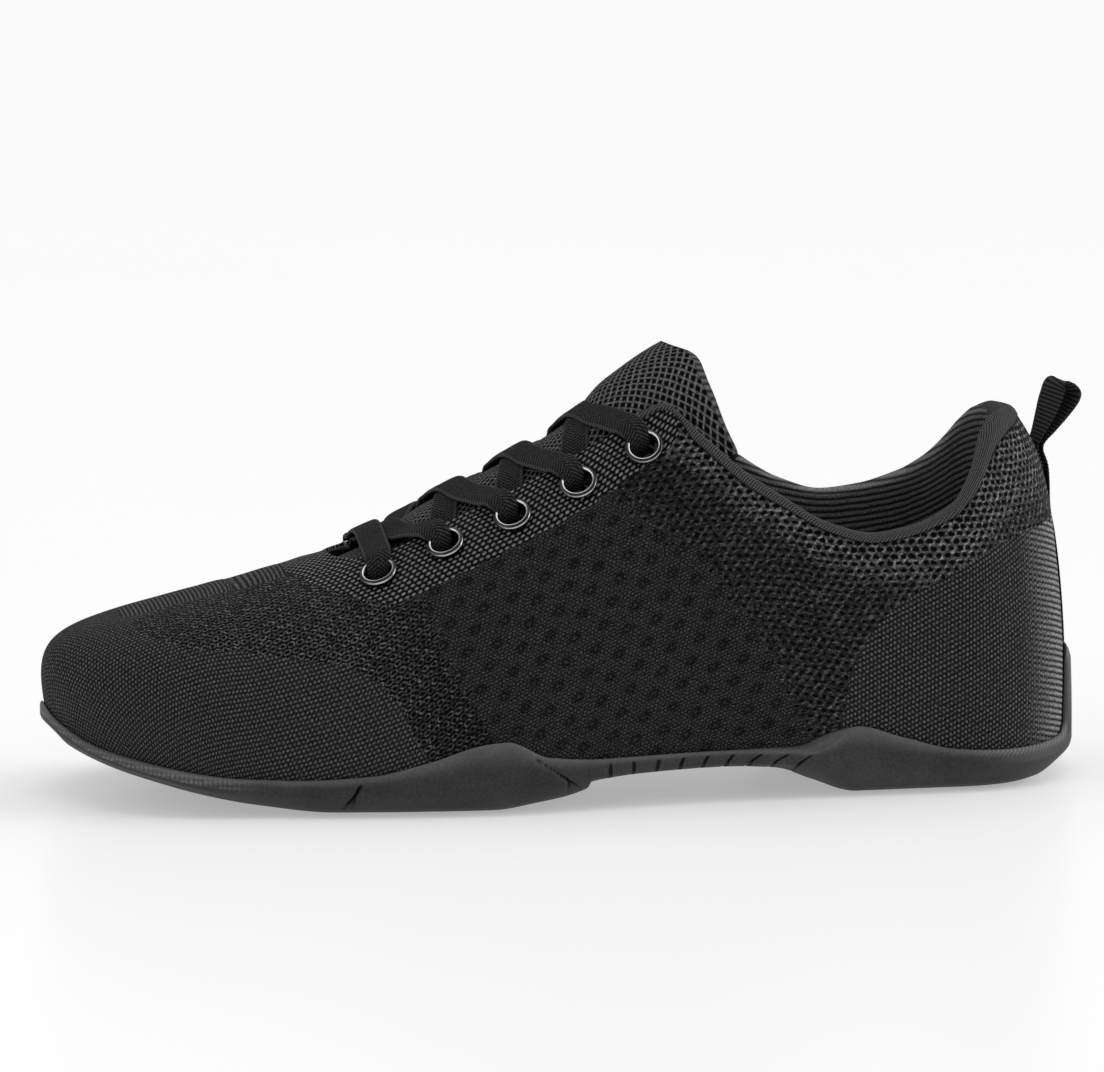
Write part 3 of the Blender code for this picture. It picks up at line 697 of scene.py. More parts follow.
def open_knit(name, across, pitch, row_pitch, tone, hole, lit, warp, loop=None, edge_from=None):
    """Open knit: dark holes in staggered rows with gleaming yarn between them, in separate loops if asked.

    hole and loop are the half axes of ovals. lit is where along the shoe its painted shading is darkest and
    brightest, and its share of light where it is darkest. With edge_from it grows closer, and darker by
    painted shade, down to that distance from the collar's edge. The gleam on the yarn is painted highlight.
    """
    paint, u, v, where = cloth(name, across)
    a, b = cells(*warped(paint, u, v, warp), pitch, row_pitch)
    width = paint.noise(paint.vector(v, u, 9.0), 0.5) * 0.7 + 0.65
    below = None
    if edge_from is not None:
        below = paint.place("edge") * u.rise(45.0, 85.0, 0.6, 1.4)
        width = width * below.rise(3.0, edge_from, 1.0, 1.45)
    height = (oval(a, b, *hole) * width).rise(0.65, 1.15)
    if loop is not None:
        height = height * (1.0 - oval(a, b, *loop).rise(0.8, 1.02))
    gleam = paint.noise(paint.vector(u + v * 0.6, v * 1.6, 3.0), 0.9).rise(0.42, 0.66)
    gleam = gleam * ((a * b).rise(-0.07, 0.07) * 0.8 + 0.3)
    height = height * (gleam * 0.95 + 0.17) * specks(paint, where)
    darkest, brightest, least = lit
    height = height * u.rise(darkest, brightest, least, 1.0)
    if below is not None:
        # Painted shade: darker down from the collar's edge, and a dark line at the foot of the binding.
        height = height * below.rise(edge_from, 3.0, 0.19, 1.0) * (1.0 - paint.place("painted_binding_shade"))
    return paint.finish(height, HOLLOW, grey(tone), depth=0.5)


def knit_eyestay():
    """Firm knit of round knots in staggered rows."""
    paint, u, v, where = cloth("knit_eyestay", "spine")
    a, b = cells(*warped(paint, u, v, by=0.35), 1.55, 1.3)
    height = 1.0 - oval(a, b, 0.52, 0.5).rise(0.2, 0.88)
    return paint.finish(height * specks(paint, where), HOLLOW, grey(0.300), depth=0.4)


def tongue_net(long_pitch=2.1, up_pitch=1.8, thread=0.16):
    """Net of threads that cross over and under one another, above a dark ground."""
    paint, u, v, where = cloth("tongue_net", "across")
    warped_u, warped_v = warped(paint, u, v, by=0.5)
    p = warped_u / long_pitch + warped_v / up_pitch
    q = warped_u / long_pitch - warped_v / up_pitch
    edges = 0.5 - 1.6 * thread, 0.5 - 0.4 * thread
    one = p.from_half().rise(*edges) * q.ripple(0.5)
    two = q.from_half().rise(*edges) * (p.wave() * -0.25 + 0.75)
    return paint.finish(one.op("MAXIMUM", two) * specks(paint, where), HOLLOW, grey(0.230), depth=0.5)


def dimples(u, v, floor):
    """Distances along and up from the middle of the nearest dimple, for numbers or for node terms."""
    p = (u + v * (DIMPLE_SHIFT / DIMPLE_UP)) / DIMPLE_ALONG
    column = floor(p)
    odd = column - floor(column * 0.5) * 2.0
    q = (v + (odd - 0.5) * (2 * DIMPLE_ZIGZAG)) / DIMPLE_UP
    return (p - column - 0.5) * DIMPLE_ALONG, (q - floor(q) - 0.5) * DIMPLE_UP


def knit_quarter():
    """Close uneven knit with rows of dimples, each with a knot of yarn in it."""
    paint, u, v, where = cloth("knit_quarter", "bed")
    a, b = cells(*turned(*warped(paint, u, v, by=1.2), -0.35), 1.05, 0.75)
    ground = (1.0 - oval(a, b, 0.52, 0.5).rise(0.25, 1.05)) * 0.88 + 0.12
    across, up = dimples(*warped(paint, u, v, by=1.0), lambda term: term.op("FLOOR"))
    reach = (across * across * 0.8 + up * up).op("SQRT") + (paint.noise(where, 1.3) - 0.5) * 1.3
    pit = 1.0 - reach.rise(0.8, 1.9)
    knot = 1.0 - reach.rise(0.1, 0.5)
    height = (ground * (1.0 - pit * 0.72) + knot * 0.5) * specks(paint, where, 1.9)
    return paint.finish(height, HOLLOW, grey(0.080), depth=0.40)


def ribbed(name, rib, pitch, tone, slant=0.0, floor=0.10, depth=0.42):
    """Ribbed cloth: raised cords with a fine weave over them, above a floor that is a share of their tone."""
    paint, u, v, where = cloth(name, rib)
    across = (v + u * slant) / pitch + (paint.noise(where, 0.2, 1.0) - 0.5) * 0.3
    cord = across.from_half().rise(0.5, 0.10)
    weave = (u / 0.7 + across.op("FLOOR") * 0.5).ripple(0.7)
    # Painted shade: a dark line where the binding meets the wall.
    height = cord * weave * (specks(paint, where) * 0.5 + 0.5) * (1.0 - paint.place("painted_binding_shade"))
    return paint.finish(height, grey(tone * floor), grey(tone), depth)


def lace_weave(tone=0.072, pitch=0.9, chevron=0.8):
    """Flat woven band: fine slanted threads that turn back at the middle, and paler edges."""
    paint, u, v, where = cloth("lace_woven", "across")
    from_middle = v.op("ABSOLUTE")
    threads = ((u + from_middle * chevron) / pitch).ripple()
    picks = (v / (pitch * 0.8)).ripple(0.5)
    height = threads * picks * specks(paint, where) + from_middle.rise(2.7, 3.3) * 0.5
    return paint.finish(height, grey(tone * 0.05), grey(tone), depth=0.35)


def grosgrain():
    """Ribbed webbing whose cords run across it."""
    paint, u, v, where = cloth("grosgrain", "across")
    ends = (v / 0.42 + u.op("FLOOR") * 0.5).ripple(0.6)
    height = u.ripple() * ends * (paint.noise(where, 2.4) * 0.6 + 0.68)
    return paint.finish(height, grey(0.005), grey(0.060), depth=0.12)


def rubber():
    """Matte moulded rubber: fine grain, a pebbled toe lip, and slanted ribs that fade in at the heel."""
    paint = Paint("rubber_moulded", specular=0.32)
    where = paint.vector(*paint.position())
    grain = paint.noise(where, 1.7, 3.0)
    cloud = paint.noise(where, 0.05, 3.0)
    u, v = paint.place("along"), paint.place("up")
    p, q = warped(paint, u, v, by=0.9)
    pebble = (((p + q * 0.8) / 2.3).wave() * ((p - q * 0.8) / 2.3).wave()).rise(-0.3, 0.6)
    ribs = ((u + v * 1.1) / 1.3).ripple()
    textured = (pebble * 1.6 + 0.5) * paint.place("lip") + ribs * paint.place("heel")
    # Painted highlight: the sole's side grows lighter towards its top.
    shade = grain * 0.3 + cloud * 0.35 + textured * 0.32 + paint.place("painted_top_highlight") * 0.3
    # Painted shade: darker in the slots, the flex slit and the pad's end line.
    shade = shade.rise(0.1, 1.0) * (1.0 - paint.place("painted_groove_shade") * 0.95)
    paint.colour(shade, grey(0.006, 1.0), grey(0.142, 1.0))
    paint.relief(grain * 0.35 + textured * 0.8, 0.17)
    paint.put(grain * 0.16 + cloud * 0.12 + 0.44, paint.shader.inputs["Roughness"])
    return paint.material


def eyelet_metal():
    """Dark plated rings, with painted highlights along the inner lip and the outer edge, and uneven wear over
    them.
    """
    paint = Paint("eyelet_metal_turned", metallic=1.0, specular=0.5)
    wear = paint.noise(paint.vector(*paint.position()), 0.7, 3.0)
    # The lip and the outer edge are lightened by a painted highlight, with uneven wear over it.
    painted_ring_highlight = paint.place("painted_ring_highlight") * 0.9 + (wear - 0.5) * 0.25
    paint.colour(painted_ring_highlight.rise(0.05, 0.9), grey(0.03), (0.62, 0.62, 0.63))
    paint.relief(wear, 0.015)
    paint.put(wear * 0.16 + 0.14, paint.shader.inputs["Roughness"])
    return paint.material


def insole_cloth():
    """Brushed cloth of the footbed."""
    paint = Paint("insole_brushed", roughness=0.92)
    x, y, z = paint.position()
    fibre = paint.noise(paint.vector(x, y, z), 1.8, 4.0)
    weave = (x / 1.5).wave() * (y / 1.5).wave() * 0.5 + 0.5
    height = fibre * 0.65 + weave * 0.35
    return paint.finish(height.rise(0.25, 0.75), grey(0.012), grey(0.095), depth=0.3)


# Upper: outer knit, rolled edge and lining are one closed wall with its eyelet holes
ZONES = ("fine", "strip", "flower", "eyestay", "quarter", "collar", "counter", "binding", "lining")
WALL_ROWS, BINDING_ROWS, EDGE_ROWS, LINING_ROWS = 84, 9, 6, 20
HOLE_RADIUS, HOLE_DEPTH = 4.0, 6.0
RIB_FOLLOWS = 0.55
BINDING_GROWS, BINDING_FADES = (6.0, 40.0), (126.0, 140.0)
BINDING_LEAST, BINDING_ROUND = 0.35, 0.22
EDGE_ROLL, EDGE_ROLL_DIP = 0.42, 0.19
THROAT_HEM = 2.2
COLLAR_PUFF, COLLAR_RAGGED = 0.7, 2.4
EYELET_DIP, EYELET_DIP_WIDE = 0.45, 5.6
EYELET_SWELL, EYELET_SWELL_AT, EYELET_SWELL_WIDE = 0.18, 8.5, 2.2
DIMPLE_DEPTH, DIMPLE_SPREAD = 0.42, 0.72
QUARTER_FADES, QUARTER_LEAST_Z, QUARTER_LEAST_REACH = (172.0, 178.0), 17.0, 35.0


def upper_travels():
    front = travel_at(THROAT_FRONT_X)
    return spread((0, HEEL_TRAVEL, 1.05), (HEEL_TRAVEL, 100, 0.95), (100, 184, 0.55), (184, front - 4, 0.85),
                  (front - 4, front, 0.4), (front, TOE_START, 0.9), (TOE_START, TOE_TIP, 1.0))


def edge_height(travel, thickness):
    """How far the rolled edge stands above the wall that it closes."""
    at_front = smooth(throat_half(plane_at(travel)[0]), 0.0, 4.0)
    at_dip = smooth(travel, 46, 62) * fall(travel, 92, 110)
    return (EDGE_ROLL - EDGE_ROLL_DIP * at_dip) * thickness * at_front


def upper_column(travel, side):
    """Points up the outside, over the edge and down the lining, with what the materials need at each."""
    section = Section.at(travel, side)
    in_collar = fall(travel, *COLLAR_TO_THROAT)
    step = BINDING_STEP * fall(travel, *BINDING_FADES)
    step *= BINDING_LEAST + (1 - BINDING_LEAST) * smooth(travel, *BINDING_GROWS)
    top_depth = WALL + step + COLLAR_PAD * collar_pad(travel, 1.0)
    roll = edge_height(travel, top_depth)
    top = t_top(section, roll)
    below = section.t_radius(THROAT_HALF + THROAT_HEM) if in_collar < 1 else 0.0
    if in_collar > 0:
        height = section.curve([top])[0][0, 1] - COLLAR.read("binding", travel)
        below = below * (1 - in_collar) + section.t_height(height) * in_collar
    below = min(below, top - 0.01)
    wall_t = section.t_length(np.linspace(0, section.length(below), WALL_ROWS + 1))
    part = np.linspace(0, 1, BINDING_ROWS + 1)[1:]
    bind_t = below + (top - below) * part
    out_t = np.concatenate((wall_t, bind_t))
    share = out_t / top
    proud = step * np.sqrt(1 - (1 - np.clip(part / BINDING_ROUND, 0, 1)) ** 2)
    puff = COLLAR_PUFF * fall(travel, *COLLAR_PAD_ENDS) * smooth(share, 0.5, 0.78) * fall(share, 0.84, 0.99)
    out_offset = np.concatenate((np.zeros(len(wall_t)), proud)) + puff
    outside = section.points(out_t, out_offset)
    (base,), (normal,) = section.curve([top])
    rising = np.array((-normal[1], normal[0]))
    angle = np.linspace(0, math.pi, EDGE_ROWS + 2)[1:-1]
    middle = base + normal * (step - top_depth / 2)
    edge = middle + np.outer(np.cos(angle), normal) * top_depth / 2 + np.outer(np.sin(angle), rising) * roll
    in_t = section.t_length(np.linspace(section.length(top), 0, LINING_ROWS + 1))
    in_depth = WALL + COLLAR_PAD * collar_pad(travel, in_t / top)
    inside = section.points(in_t, -in_depth)
    t = np.concatenate((out_t, np.full(EDGE_ROWS, top), in_t))
    length = section.length(t)
    beyond = np.concatenate((np.zeros(len(out_t)), angle * top_depth / 2, np.zeros(len(in_t))))
    reach = section.lengths[-1] - length + section.handles[3][0]
    points = np.vstack((outside, section.lift(edge), inside))
    collar = COLLAR.read(SIDE_NAMES[side], travel)
    along = min(travel, TOE_START) + (reach * -math.cos(section.turn) if travel > TOE_START else 0.0)
    return {
        "point": points,
        "rib": points[:, 2] - RIB_FOLLOWS * collar,
        "edge": collar - points[:, 2],
        # Painted shade: a dark line along the row where the wall meets the binding, round the collar.
        "painted_binding_shade": np.where(np.arange(len(t)) == WALL_ROWS, in_collar, 0.0),
        "along": np.broadcast_to(along, len(t)),
        "spine": reach * math.sin(section.turn) if travel > HEEL_TRAVEL else reach,
        "reach": reach,
        "bed": length + beyond,
        "travel": np.full(len(t), travel),
        "share": np.concatenate((share, np.ones(EDGE_ROWS), in_t / top)),
        "out": np.concatenate((np.ones(len(out_t)), np.zeros(EDGE_ROWS + len(in_t)))),
    }


def eyelet_frames():
    """(centre, along, across, outwards) of each eyelet, in millimetres."""
    for side in (OUTER, INNER):
        for k in range(EYELETS_A_SIDE):
            travel = travel_at(FIRST_EYELET_X + EYELET_PITCH * k)
            section, ahead = Section.at(travel, side), Section.at(travel + 1.0, side)
            t = section.t_radius(EYELET_RADIUS_AT)
            centre = section.point(t)
            up = section.point(t + 0.02) - centre
            forward = ahead.point(ahead.t_radius(EYELET_RADIUS_AT)) - centre
            outwards = unit(np.cross(forward, up) * side)
            along = unit(forward - outwards * forward.dot(outwards))
            yield centre, along, np.cross(outwards, along), outwards


def zone_of(travel, side, height, reach, spine, row):
    """The name of the knit at a place on the outside, or the lining's."""
    ragged = 1.3 * math.sin(height * 1.9) + 0.9 * math.sin(travel * 1.3 + height)
    over_edge = EDGE_ROWS
    if side == INNER:
        over_edge -= (EDGE_ROWS - 2) * smooth(travel, 0, 32)
    if row > WALL_ROWS + BINDING_ROWS + over_edge:
        return "lining"
    if row >= WALL_ROWS and travel < BINDING_END:
        return "binding"
    if travel < COUNTER.last and height < COUNTER.read("height", travel):
        return "counter"
    in_eyestay = travel < EYESTAY.last and reach < EYESTAY.read("reach", travel)
    border = QUARTER_BACK.read("height", travel) + COLLAR_RAGGED * ragged
    above_quarter = travel < QUARTER_BACK.last and height > border
    beside_eyestay = travel < COLLAR_OVER_EYESTAY or not in_eyestay
    if travel < QUARTER_BACK.first or (above_quarter and beside_eyestay):
        return "collar"
    ahead = math.sqrt(max(reach ** 2 - spine ** 2, 0.0))
    if travel > STRIP_START and ahead < STRIP_AHEAD and spine < STRIP_REACH - STRIP_TAPER * ahead:
        return "strip"
    if travel >= WING.first and height < WING.read("height", travel):
        return "fine"
    if in_eyestay:
        return "eyestay"
    if travel > QUARTER_FRONT.read("travel", height) + ragged:
        return "flower"
    return "quarter"


def even_out(values, travel):
    """Values smoothed from column to column near the toe's pivot, where the section planes begin to turn."""
    soft = sum(np.roll(values, k, axis=0) for k in range(-9, 10)) / 19
    near = smooth(travel, 205, 216) * fall(travel, 240, 252)
    return values * (1 - near) + soft * near


def upper_paints():
    """The materials of the zones, in the order of their names."""
    flower = open_knit("knit_flower", "spine", 2.1, 1.9, tone=0.225, hole=(0.27, 0.25),
                       lit=(172.0, 205.0, 0.5), warp=1.0, loop=(0.52, 0.50))
    collar = open_knit("knit_collar", "bed", 2.2, 1.7, tone=0.440, hole=(0.46, 0.44),
                       lit=(118.0, 82.0, 0.84), warp=1.25, edge_from=19.0)
    fine = knit_fine("knit_fine", "spine", 1.1, tone=0.140)
    counter = knit_fine("knit_counter", "bed", 1.15, tone=0.430, turn=-0.42, bars_fade=(13.0, 37.0))
    binding = ribbed("binding_cloth", "bed", 1.0, tone=0.125, slant=1.1, floor=0.12, depth=0.3)
    lining = ribbed("lining_cloth", "rib", 1.6, tone=0.220)
    return [fine, knit_strip(), flower, knit_eyestay(), knit_quarter(), collar, counter, binding, lining]


def build_upper():
    order = round_foot(upper_travels())
    columns = [upper_column(t, side) for t, side in order]
    data = {name: np.stack([c[name] for c in columns]) for name in columns[0]}
    points = data["point"]
    for name in ("along", "spine"):
        data[name] = even_out(data[name], data["travel"])
    shape_upper(points, data)
    count, rows = points.shape[:2]
    ids = np.arange(count * rows).reshape(count, rows)
    top, inner_top = WALL_ROWS + BINDING_ROWS, WALL_ROWS + BINDING_ROWS + EDGE_ROWS + 1
    skip = np.zeros((count, rows), bool)
    closes = travel_at(THROAT_FRONT_X) - 1e-6
    first = next(i for i, (t, _) in enumerate(order) if t >= closes)
    pole = next(i for i, (t, _) in enumerate(order) if t >= TOE_START - 1e-6)
    for i, (travel, _) in enumerate(order):
        if travel < closes:
            continue
        mirror = (count - i) % count
        source = min(i, mirror, pole)
        ids[i, top], ids[i, inner_top] = ids[source, top], ids[source, inner_top]
        if min(i, mirror) == first:
            ids[i, top:inner_top + 1] = ids[first, top:inner_top + 1]
        if i >= first and (i + 1) % count <= count - first:
            skip[i, top:inner_top] = True
    faces, spots = grid_faces(ids, closed_along=True, closed_across=True, skip=skip)
    flat = points.reshape(-1, 3)
    faces, spots = open_holes(flat, faces, spots)
    zones = []
    for i, k in spots:
        zone = zone_of(*order[i], points[i, k, 2], data["reach"][i, k], data["spine"][i, k], k)
        zones.append(ZONES.index(zone))
    places = {name: data[name].ravel() for name in ("along", "spine", "bed", "rib", "edge", "painted_binding_shade")}
    flat, faces, places = drop_unused(flat, faces, places)
    return make_piece("upper_knit", flat, faces, upper_paints(), places, zones)


def shape_upper(points, data):
    """Press in the eyelets, dimples and creases, by moving points of the outside towards the middle."""
    middle = points.copy()
    middle[..., 1] = SPINE_Y
    middle[..., 2] = np.minimum(points[..., 2] - 12, 34)
    inwards = unit(middle - points)
    depth = np.zeros(points.shape[:2])
    for centre, _, _, _ in eyelet_frames():
        far = np.linalg.norm(points - centre, axis=-1)
        swell = EYELET_SWELL * np.exp(-((far - EYELET_SWELL_AT) / EYELET_SWELL_WIDE) ** 2)
        depth += EYELET_DIP * np.exp(-(far / EYELET_DIP_WIDE) ** 2) - swell
    across, up = dimples(data["along"], data["bed"], np.floor)
    border = np.array([QUARTER_BACK.read("height", t) for t in data["travel"][:, 0]])[:, None]
    in_quarter = fall(points[..., 2], border - 5, border - 1) * fall(data["travel"], *QUARTER_FADES)
    in_quarter = in_quarter * (data["reach"] > QUARTER_LEAST_REACH) * (points[..., 2] > QUARTER_LEAST_Z)
    depth += DIMPLE_DEPTH * np.exp(-(across ** 2 + up ** 2) / DIMPLE_SPREAD) * in_quarter
    share = data["share"]
    for crease in CREASES:
        line = crease["bed"] + (crease["ridge"] - crease["bed"]) * share
        low, high = crease["low"], crease["high"]
        reach = smooth(share, low - 0.15, low + 0.1) * fall(share, high - 0.1, high + 0.1)
        off = (data["travel"] - line) / crease["half"]
        depth += crease["depth"] * reach * (np.exp(-off ** 2) - 0.45 * np.exp(-(np.abs(off) - 1.8) ** 2))
    points += inwards * (depth * data["out"])[..., None]


def open_holes(points, faces, spots):
    """Take out the faces inside each eyelet hole, round its edge, and close the wall round it."""
    middles = np.array([points[face].mean(axis=0) for face in faces])
    keep = np.ones(len(faces), bool)
    walls = []
    for centre, along, across, outwards in eyelet_frames():
        away = middles - centre
        radius = np.hypot(away @ along, away @ across)
        inside = np.nonzero((radius < HOLE_RADIUS) & (np.abs(away @ outwards) < HOLE_DEPTH))[0]
        keep[inside] = False
        edges = {}
        for f in inside:
            for n, c in enumerate(faces[f]):
                edge = (faces[f][n - 1], c)
                edges.setdefault(tuple(sorted(edge)), []).append(edge)
        rim = [found[0] for found in edges.values() if len(found) == 1]
        for c in {c for edge in rim for c in edge}:
            away = points[c] - centre
            flat = away - outwards * (away @ outwards)
            points[c] += flat * (HOLE_RADIUS / np.linalg.norm(flat) - 1)
        outer_edges = [e for e in rim if (points[e[0]] - centre) @ outwards > -WALL / 2]
        turns = {}
        for c in {c for edge in rim for c in edge}:
            away = points[c] - centre
            turns[c] = math.atan2(away @ across, away @ along)
        inner_points = sorted({c for e in rim if e not in outer_edges for c in e}, key=turns.get)

        def nearest(c):
            return min(inner_points, key=lambda p: abs(math.remainder(turns[p] - turns[c], 2 * math.pi)))

        for a, b in outer_edges:
            p, q = nearest(a), nearest(b)
            walls.append([a, b, q] if p == q else [a, b, q, p])
    in_lining = (0, WALL_ROWS + BINDING_ROWS + EDGE_ROWS + 2)
    kept_spots = [spot for spot, k in zip(spots, keep) if k]
    return [face for face, k in zip(faces, keep) if k] + walls, kept_spots + [in_lining] * len(walls)


# Eyelets
def build_eyelets(metal):
    """Turned rings: a rolled flange outside, a barrel through the wall and a small curl inside."""
    profile = [(3.30, -2.0), (3.28, -0.6), (3.30, 0.5), (3.36, 0.95), (3.50, 1.22), (3.70, 1.36),
               (3.92, 1.38), (4.15, 1.30), (4.36, 1.14), (4.54, 0.92), (4.62, 0.66), (4.60, 0.44),
               (4.45, 0.36), (3.95, 0.40), (3.80, 0.2), (3.78, -2.1), (4.05, -2.55), (4.0, -2.9),
               (3.7, -2.98), (3.4, -2.7)]
    # Painted highlight on each ring of the profile: full on the inner lip, 0.7 on the outer edge, 0.12
    # elsewhere.
    painted_ring_highlight = [1.0 if r < 3.75 and z > 0.3 else 0.7 if r > 4.5 and z > 0.6 else 0.12 for r, z in profile]
    turns = 44
    angle = np.linspace(0, 2 * math.pi, turns, endpoint=False)
    parts = []
    for centre, along, across, outwards in eyelet_frames():
        circle = np.outer(np.cos(angle), along) + np.outer(np.sin(angle), across)
        points = np.vstack([centre + r * circle + z * outwards for r, z in profile])
        ids = np.arange(len(points)).reshape(len(profile), turns)
        faces, _ = grid_faces(ids, closed_along=True, closed_across=True)
        if np.cross(along, across) @ outwards > 0:
            faces = [face[::-1] for face in faces]
        parts.append((points, faces, {"painted_ring_highlight": np.repeat(painted_ring_highlight, turns)}))
    points, faces, places = join_parts(parts)
    return make_piece("eyelet_rings", points, faces, [metal], places)


# Tongue: it lies on the last under the laces, and above them it is an arch of its own
TONGUE_FREE = (-1.0, 9.0)
TONGUE_TIP_X, TONGUE_TIP_Z = 23.4, 107.7
TONGUE_SLOPE = math.radians(35.7)
TONGUE_OUTER = (0.92, 0.0535)
TONGUE_INNER = (0.78, 0.078)
TONGUE_LIFT, TONGUE_GAP = 3.25, 14.2
TONGUE_CURL = 1.0
TONGUE_EARS, TONGUE_EARS_AT, TONGUE_EARS_WIDE = 2.8, 9.5, 4.5
TONGUE_CORNER_DROP, TONGUE_CORNER = 3.0, (15.0, 23.0)
TONGUE_TOE_SHARE, TONGUE_BULGE = 0.72, 0.45


def tongue_point(along, across):
    """The tongue's outer face: along from toe (0) to top (1), across from outer edge (-1) to inner (1)."""
    half = TONGUE_HALF * (TONGUE_TOE_SHARE + (1 - TONGUE_TOE_SHARE) * smooth(along, 0.0, 0.45))
    radius = max(abs(across) * half, 0.01)
    ridge_x = TONGUE_TOE_X + (TONGUE_TIP_X - TONGUE_TOE_X) * along
    section = Section(travel_at(ridge_x), OUTER if across < 0 else INNER)
    in_throat = smooth(ridge_x, THROAT_FRONT_X + 6, THROAT_FRONT_X + 24)
    arch = max(0.0, 1 - (radius / TONGUE_GAP) ** 2) ** 1.2
    low = section.point(section.t_radius(radius), TONGUE_LIFT * arch * in_throat - WALL - 3 * GAP)
    reach, bend = TONGUE_OUTER if across < 0 else TONGUE_INNER
    y = across * half * reach
    down = bend * y * y
    ridge_z = TONGUE_TIP_Z + (ridge_x - TONGUE_TIP_X) * math.tan(TONGUE_SLOPE)
    ridge_z += TONGUE_CURL * (0.35 - max(0.0, along / 0.1 - 9.0) ** 2)
    ears = TONGUE_EARS * math.exp(-((abs(y) - TONGUE_EARS_AT) / TONGUE_EARS_WIDE) ** 2)
    ears -= TONGUE_CORNER_DROP * smooth(abs(y), *TONGUE_CORNER)
    ears *= smooth(along, 0.7, 1.0)
    lean, rise = math.sin(TONGUE_SLOPE), math.cos(TONGUE_SLOPE)
    free = np.array((ridge_x + down * lean + ears * rise, section.origin[1] + y,
                     ridge_z - down * rise + ears * lean))
    share = smooth(ridge_x, *TONGUE_FREE)
    return low * (1 - share) + free * share


def build_tongue(front, backing):
    """A padded strip, thick at its top, with its edges rounded by subdivision."""
    alongs = steps(0, 0.7, 20) + steps(0.72, 1, 14)
    acrosses = steps(-1, 1, 34)
    points = np.array([[tongue_point(a, c) for c in acrosses] for a in alongs])
    rows, columns = len(alongs), len(acrosses)
    normal = unit(np.cross(np.gradient(points, axis=0), np.gradient(points, axis=1)))
    normal *= np.sign(normal[rows // 2, columns // 2, 2])
    pad = np.array([[TONGUE_THICK + TONGUE_PAD * smooth(a, 0.55, 0.85) * fall(abs(c), 0.6, 1.0)
                     for c in acrosses] for a in alongs])
    back = points - normal * pad[..., None]
    ids = np.arange(2 * rows * columns).reshape(2, rows, columns)
    front_faces, _ = grid_faces(ids[0])
    faces = front_faces + [face[::-1] for face in grid_faces(ids[1])[0]]
    ring = ([(0, k) for k in range(columns)] + [(i, columns - 1) for i in range(1, rows)]
            + [(rows - 1, k) for k in range(columns - 2, -1, -1)] + [(i, 0) for i in range(rows - 2, 0, -1)])
    middle, first = [], 2 * rows * columns
    for n, ((i, k), (m, o)) in enumerate(zip(ring, ring[1:] + ring[:1])):
        inside = points[min(max(i, 1), rows - 2), min(max(k, 1), columns - 2)]
        bulge = unit(points[i, k] - inside) * TONGUE_BULGE * pad[i, k]
        middle.append((points[i, k] + back[i, k]) / 2 + bulge)
        here, there = first + n, first + (n + 1) % len(ring)
        faces.append([int(c) for c in (ids[0][m, o], ids[0][i, k], here, there)])
        faces.append([int(c) for c in (there, here, ids[1][i, k], ids[1][m, o])])
    whole = np.vstack((points.reshape(-1, 3), back.reshape(-1, 3), np.array(middle)))
    width = np.linalg.norm(points[:, -1] - points[:, 0], axis=-1) * 0.62
    edge = [i * columns + k for i, k in ring]
    places = {"along": np.repeat(run_along(points[:, columns // 2]), columns),
              "across": (np.array(acrosses)[None] * width[:, None]).ravel()}
    places = {name: np.concatenate((values, values, values[edge])) for name, values in places.items()}
    zones = [int(f >= len(front_faces)) for f in range(len(faces))]
    tongue = make_piece("tongue_pad", whole, faces, [front, backing], places, zones)
    round_off(tongue, 2)
    return tongue


# Laces
LACE_BAND, LACE_HIGH = 6.9, 1.25

# One strand from inside its hole, over the edge of the throat, across the tongue and under the other edge:
# how far it is from the middle, how far it has gone towards the toe, its lift where it crosses over and where
# it crosses under, and its width and thickness
STRAND = named_rows("q shift over under width thick", [
    (21.7, 0.6, -4.2, -4.2, 4.6, 1.5),
    (21.3, 0.8, -1.9, -1.9, 5.0, 1.5),
    (20.6, 1.2, 0.4, 0.4, 5.6, 1.35),
    (19.3, 2.0, 1.9, 1.9, 6.2, 1.25),
    (17.3, 3.5, 2.25, 2.25, 6.7, 1.25),
    (14.5, 5.6, 1.3, 1.3, LACE_BAND, LACE_HIGH),
    (8.0, 9.3, 0.9, -0.4, LACE_BAND, LACE_HIGH),
    (0.0, 12.0, 2.1, 0.8, LACE_BAND, LACE_HIGH),
    (-8.0, 14.2, 0.85, -0.45, LACE_BAND, LACE_HIGH),
    (-11.0, 14.9, -0.8, -1.35, LACE_BAND, 1.1),
    (-13.6, 15.4, -2.3, -2.3, 6.6, 0.85),
    (-16.0, 15.7, -2.75, -2.75, 6.2, 0.7),
    (-20.0, 15.9, -2.75, -2.75, 6.0, 0.7),
])
HOLE_STOPS = 6
BAR_BOW = 0.3
BAR_LIFTS = ((-8.0, 0.6), (0.0, 1.5), (8.0, 1.6))
FIRST_DROP = 1.5


def lace_line(rows):
    """A band through rows of (x, y, lift, width, thickness), lying on the last."""
    fine = through(rows, 7)
    path, across = [], []
    for x, y, lift, _, _ in fine:
        side, radius = OUTER if y < 0 else INNER, max(abs(y), 0.01)
        here, back, ahead = (Section(travel_at(x + d), side) for d in (0.0, -1.0, 1.0))
        path.append(here.point(here.t_radius(radius), lift))
        across.append(ahead.point(ahead.t_radius(radius)) - back.point(back.t_radius(radius)))
    return ribbon(np.array(path), np.array(across), fine[:, 3], fine[:, 4])


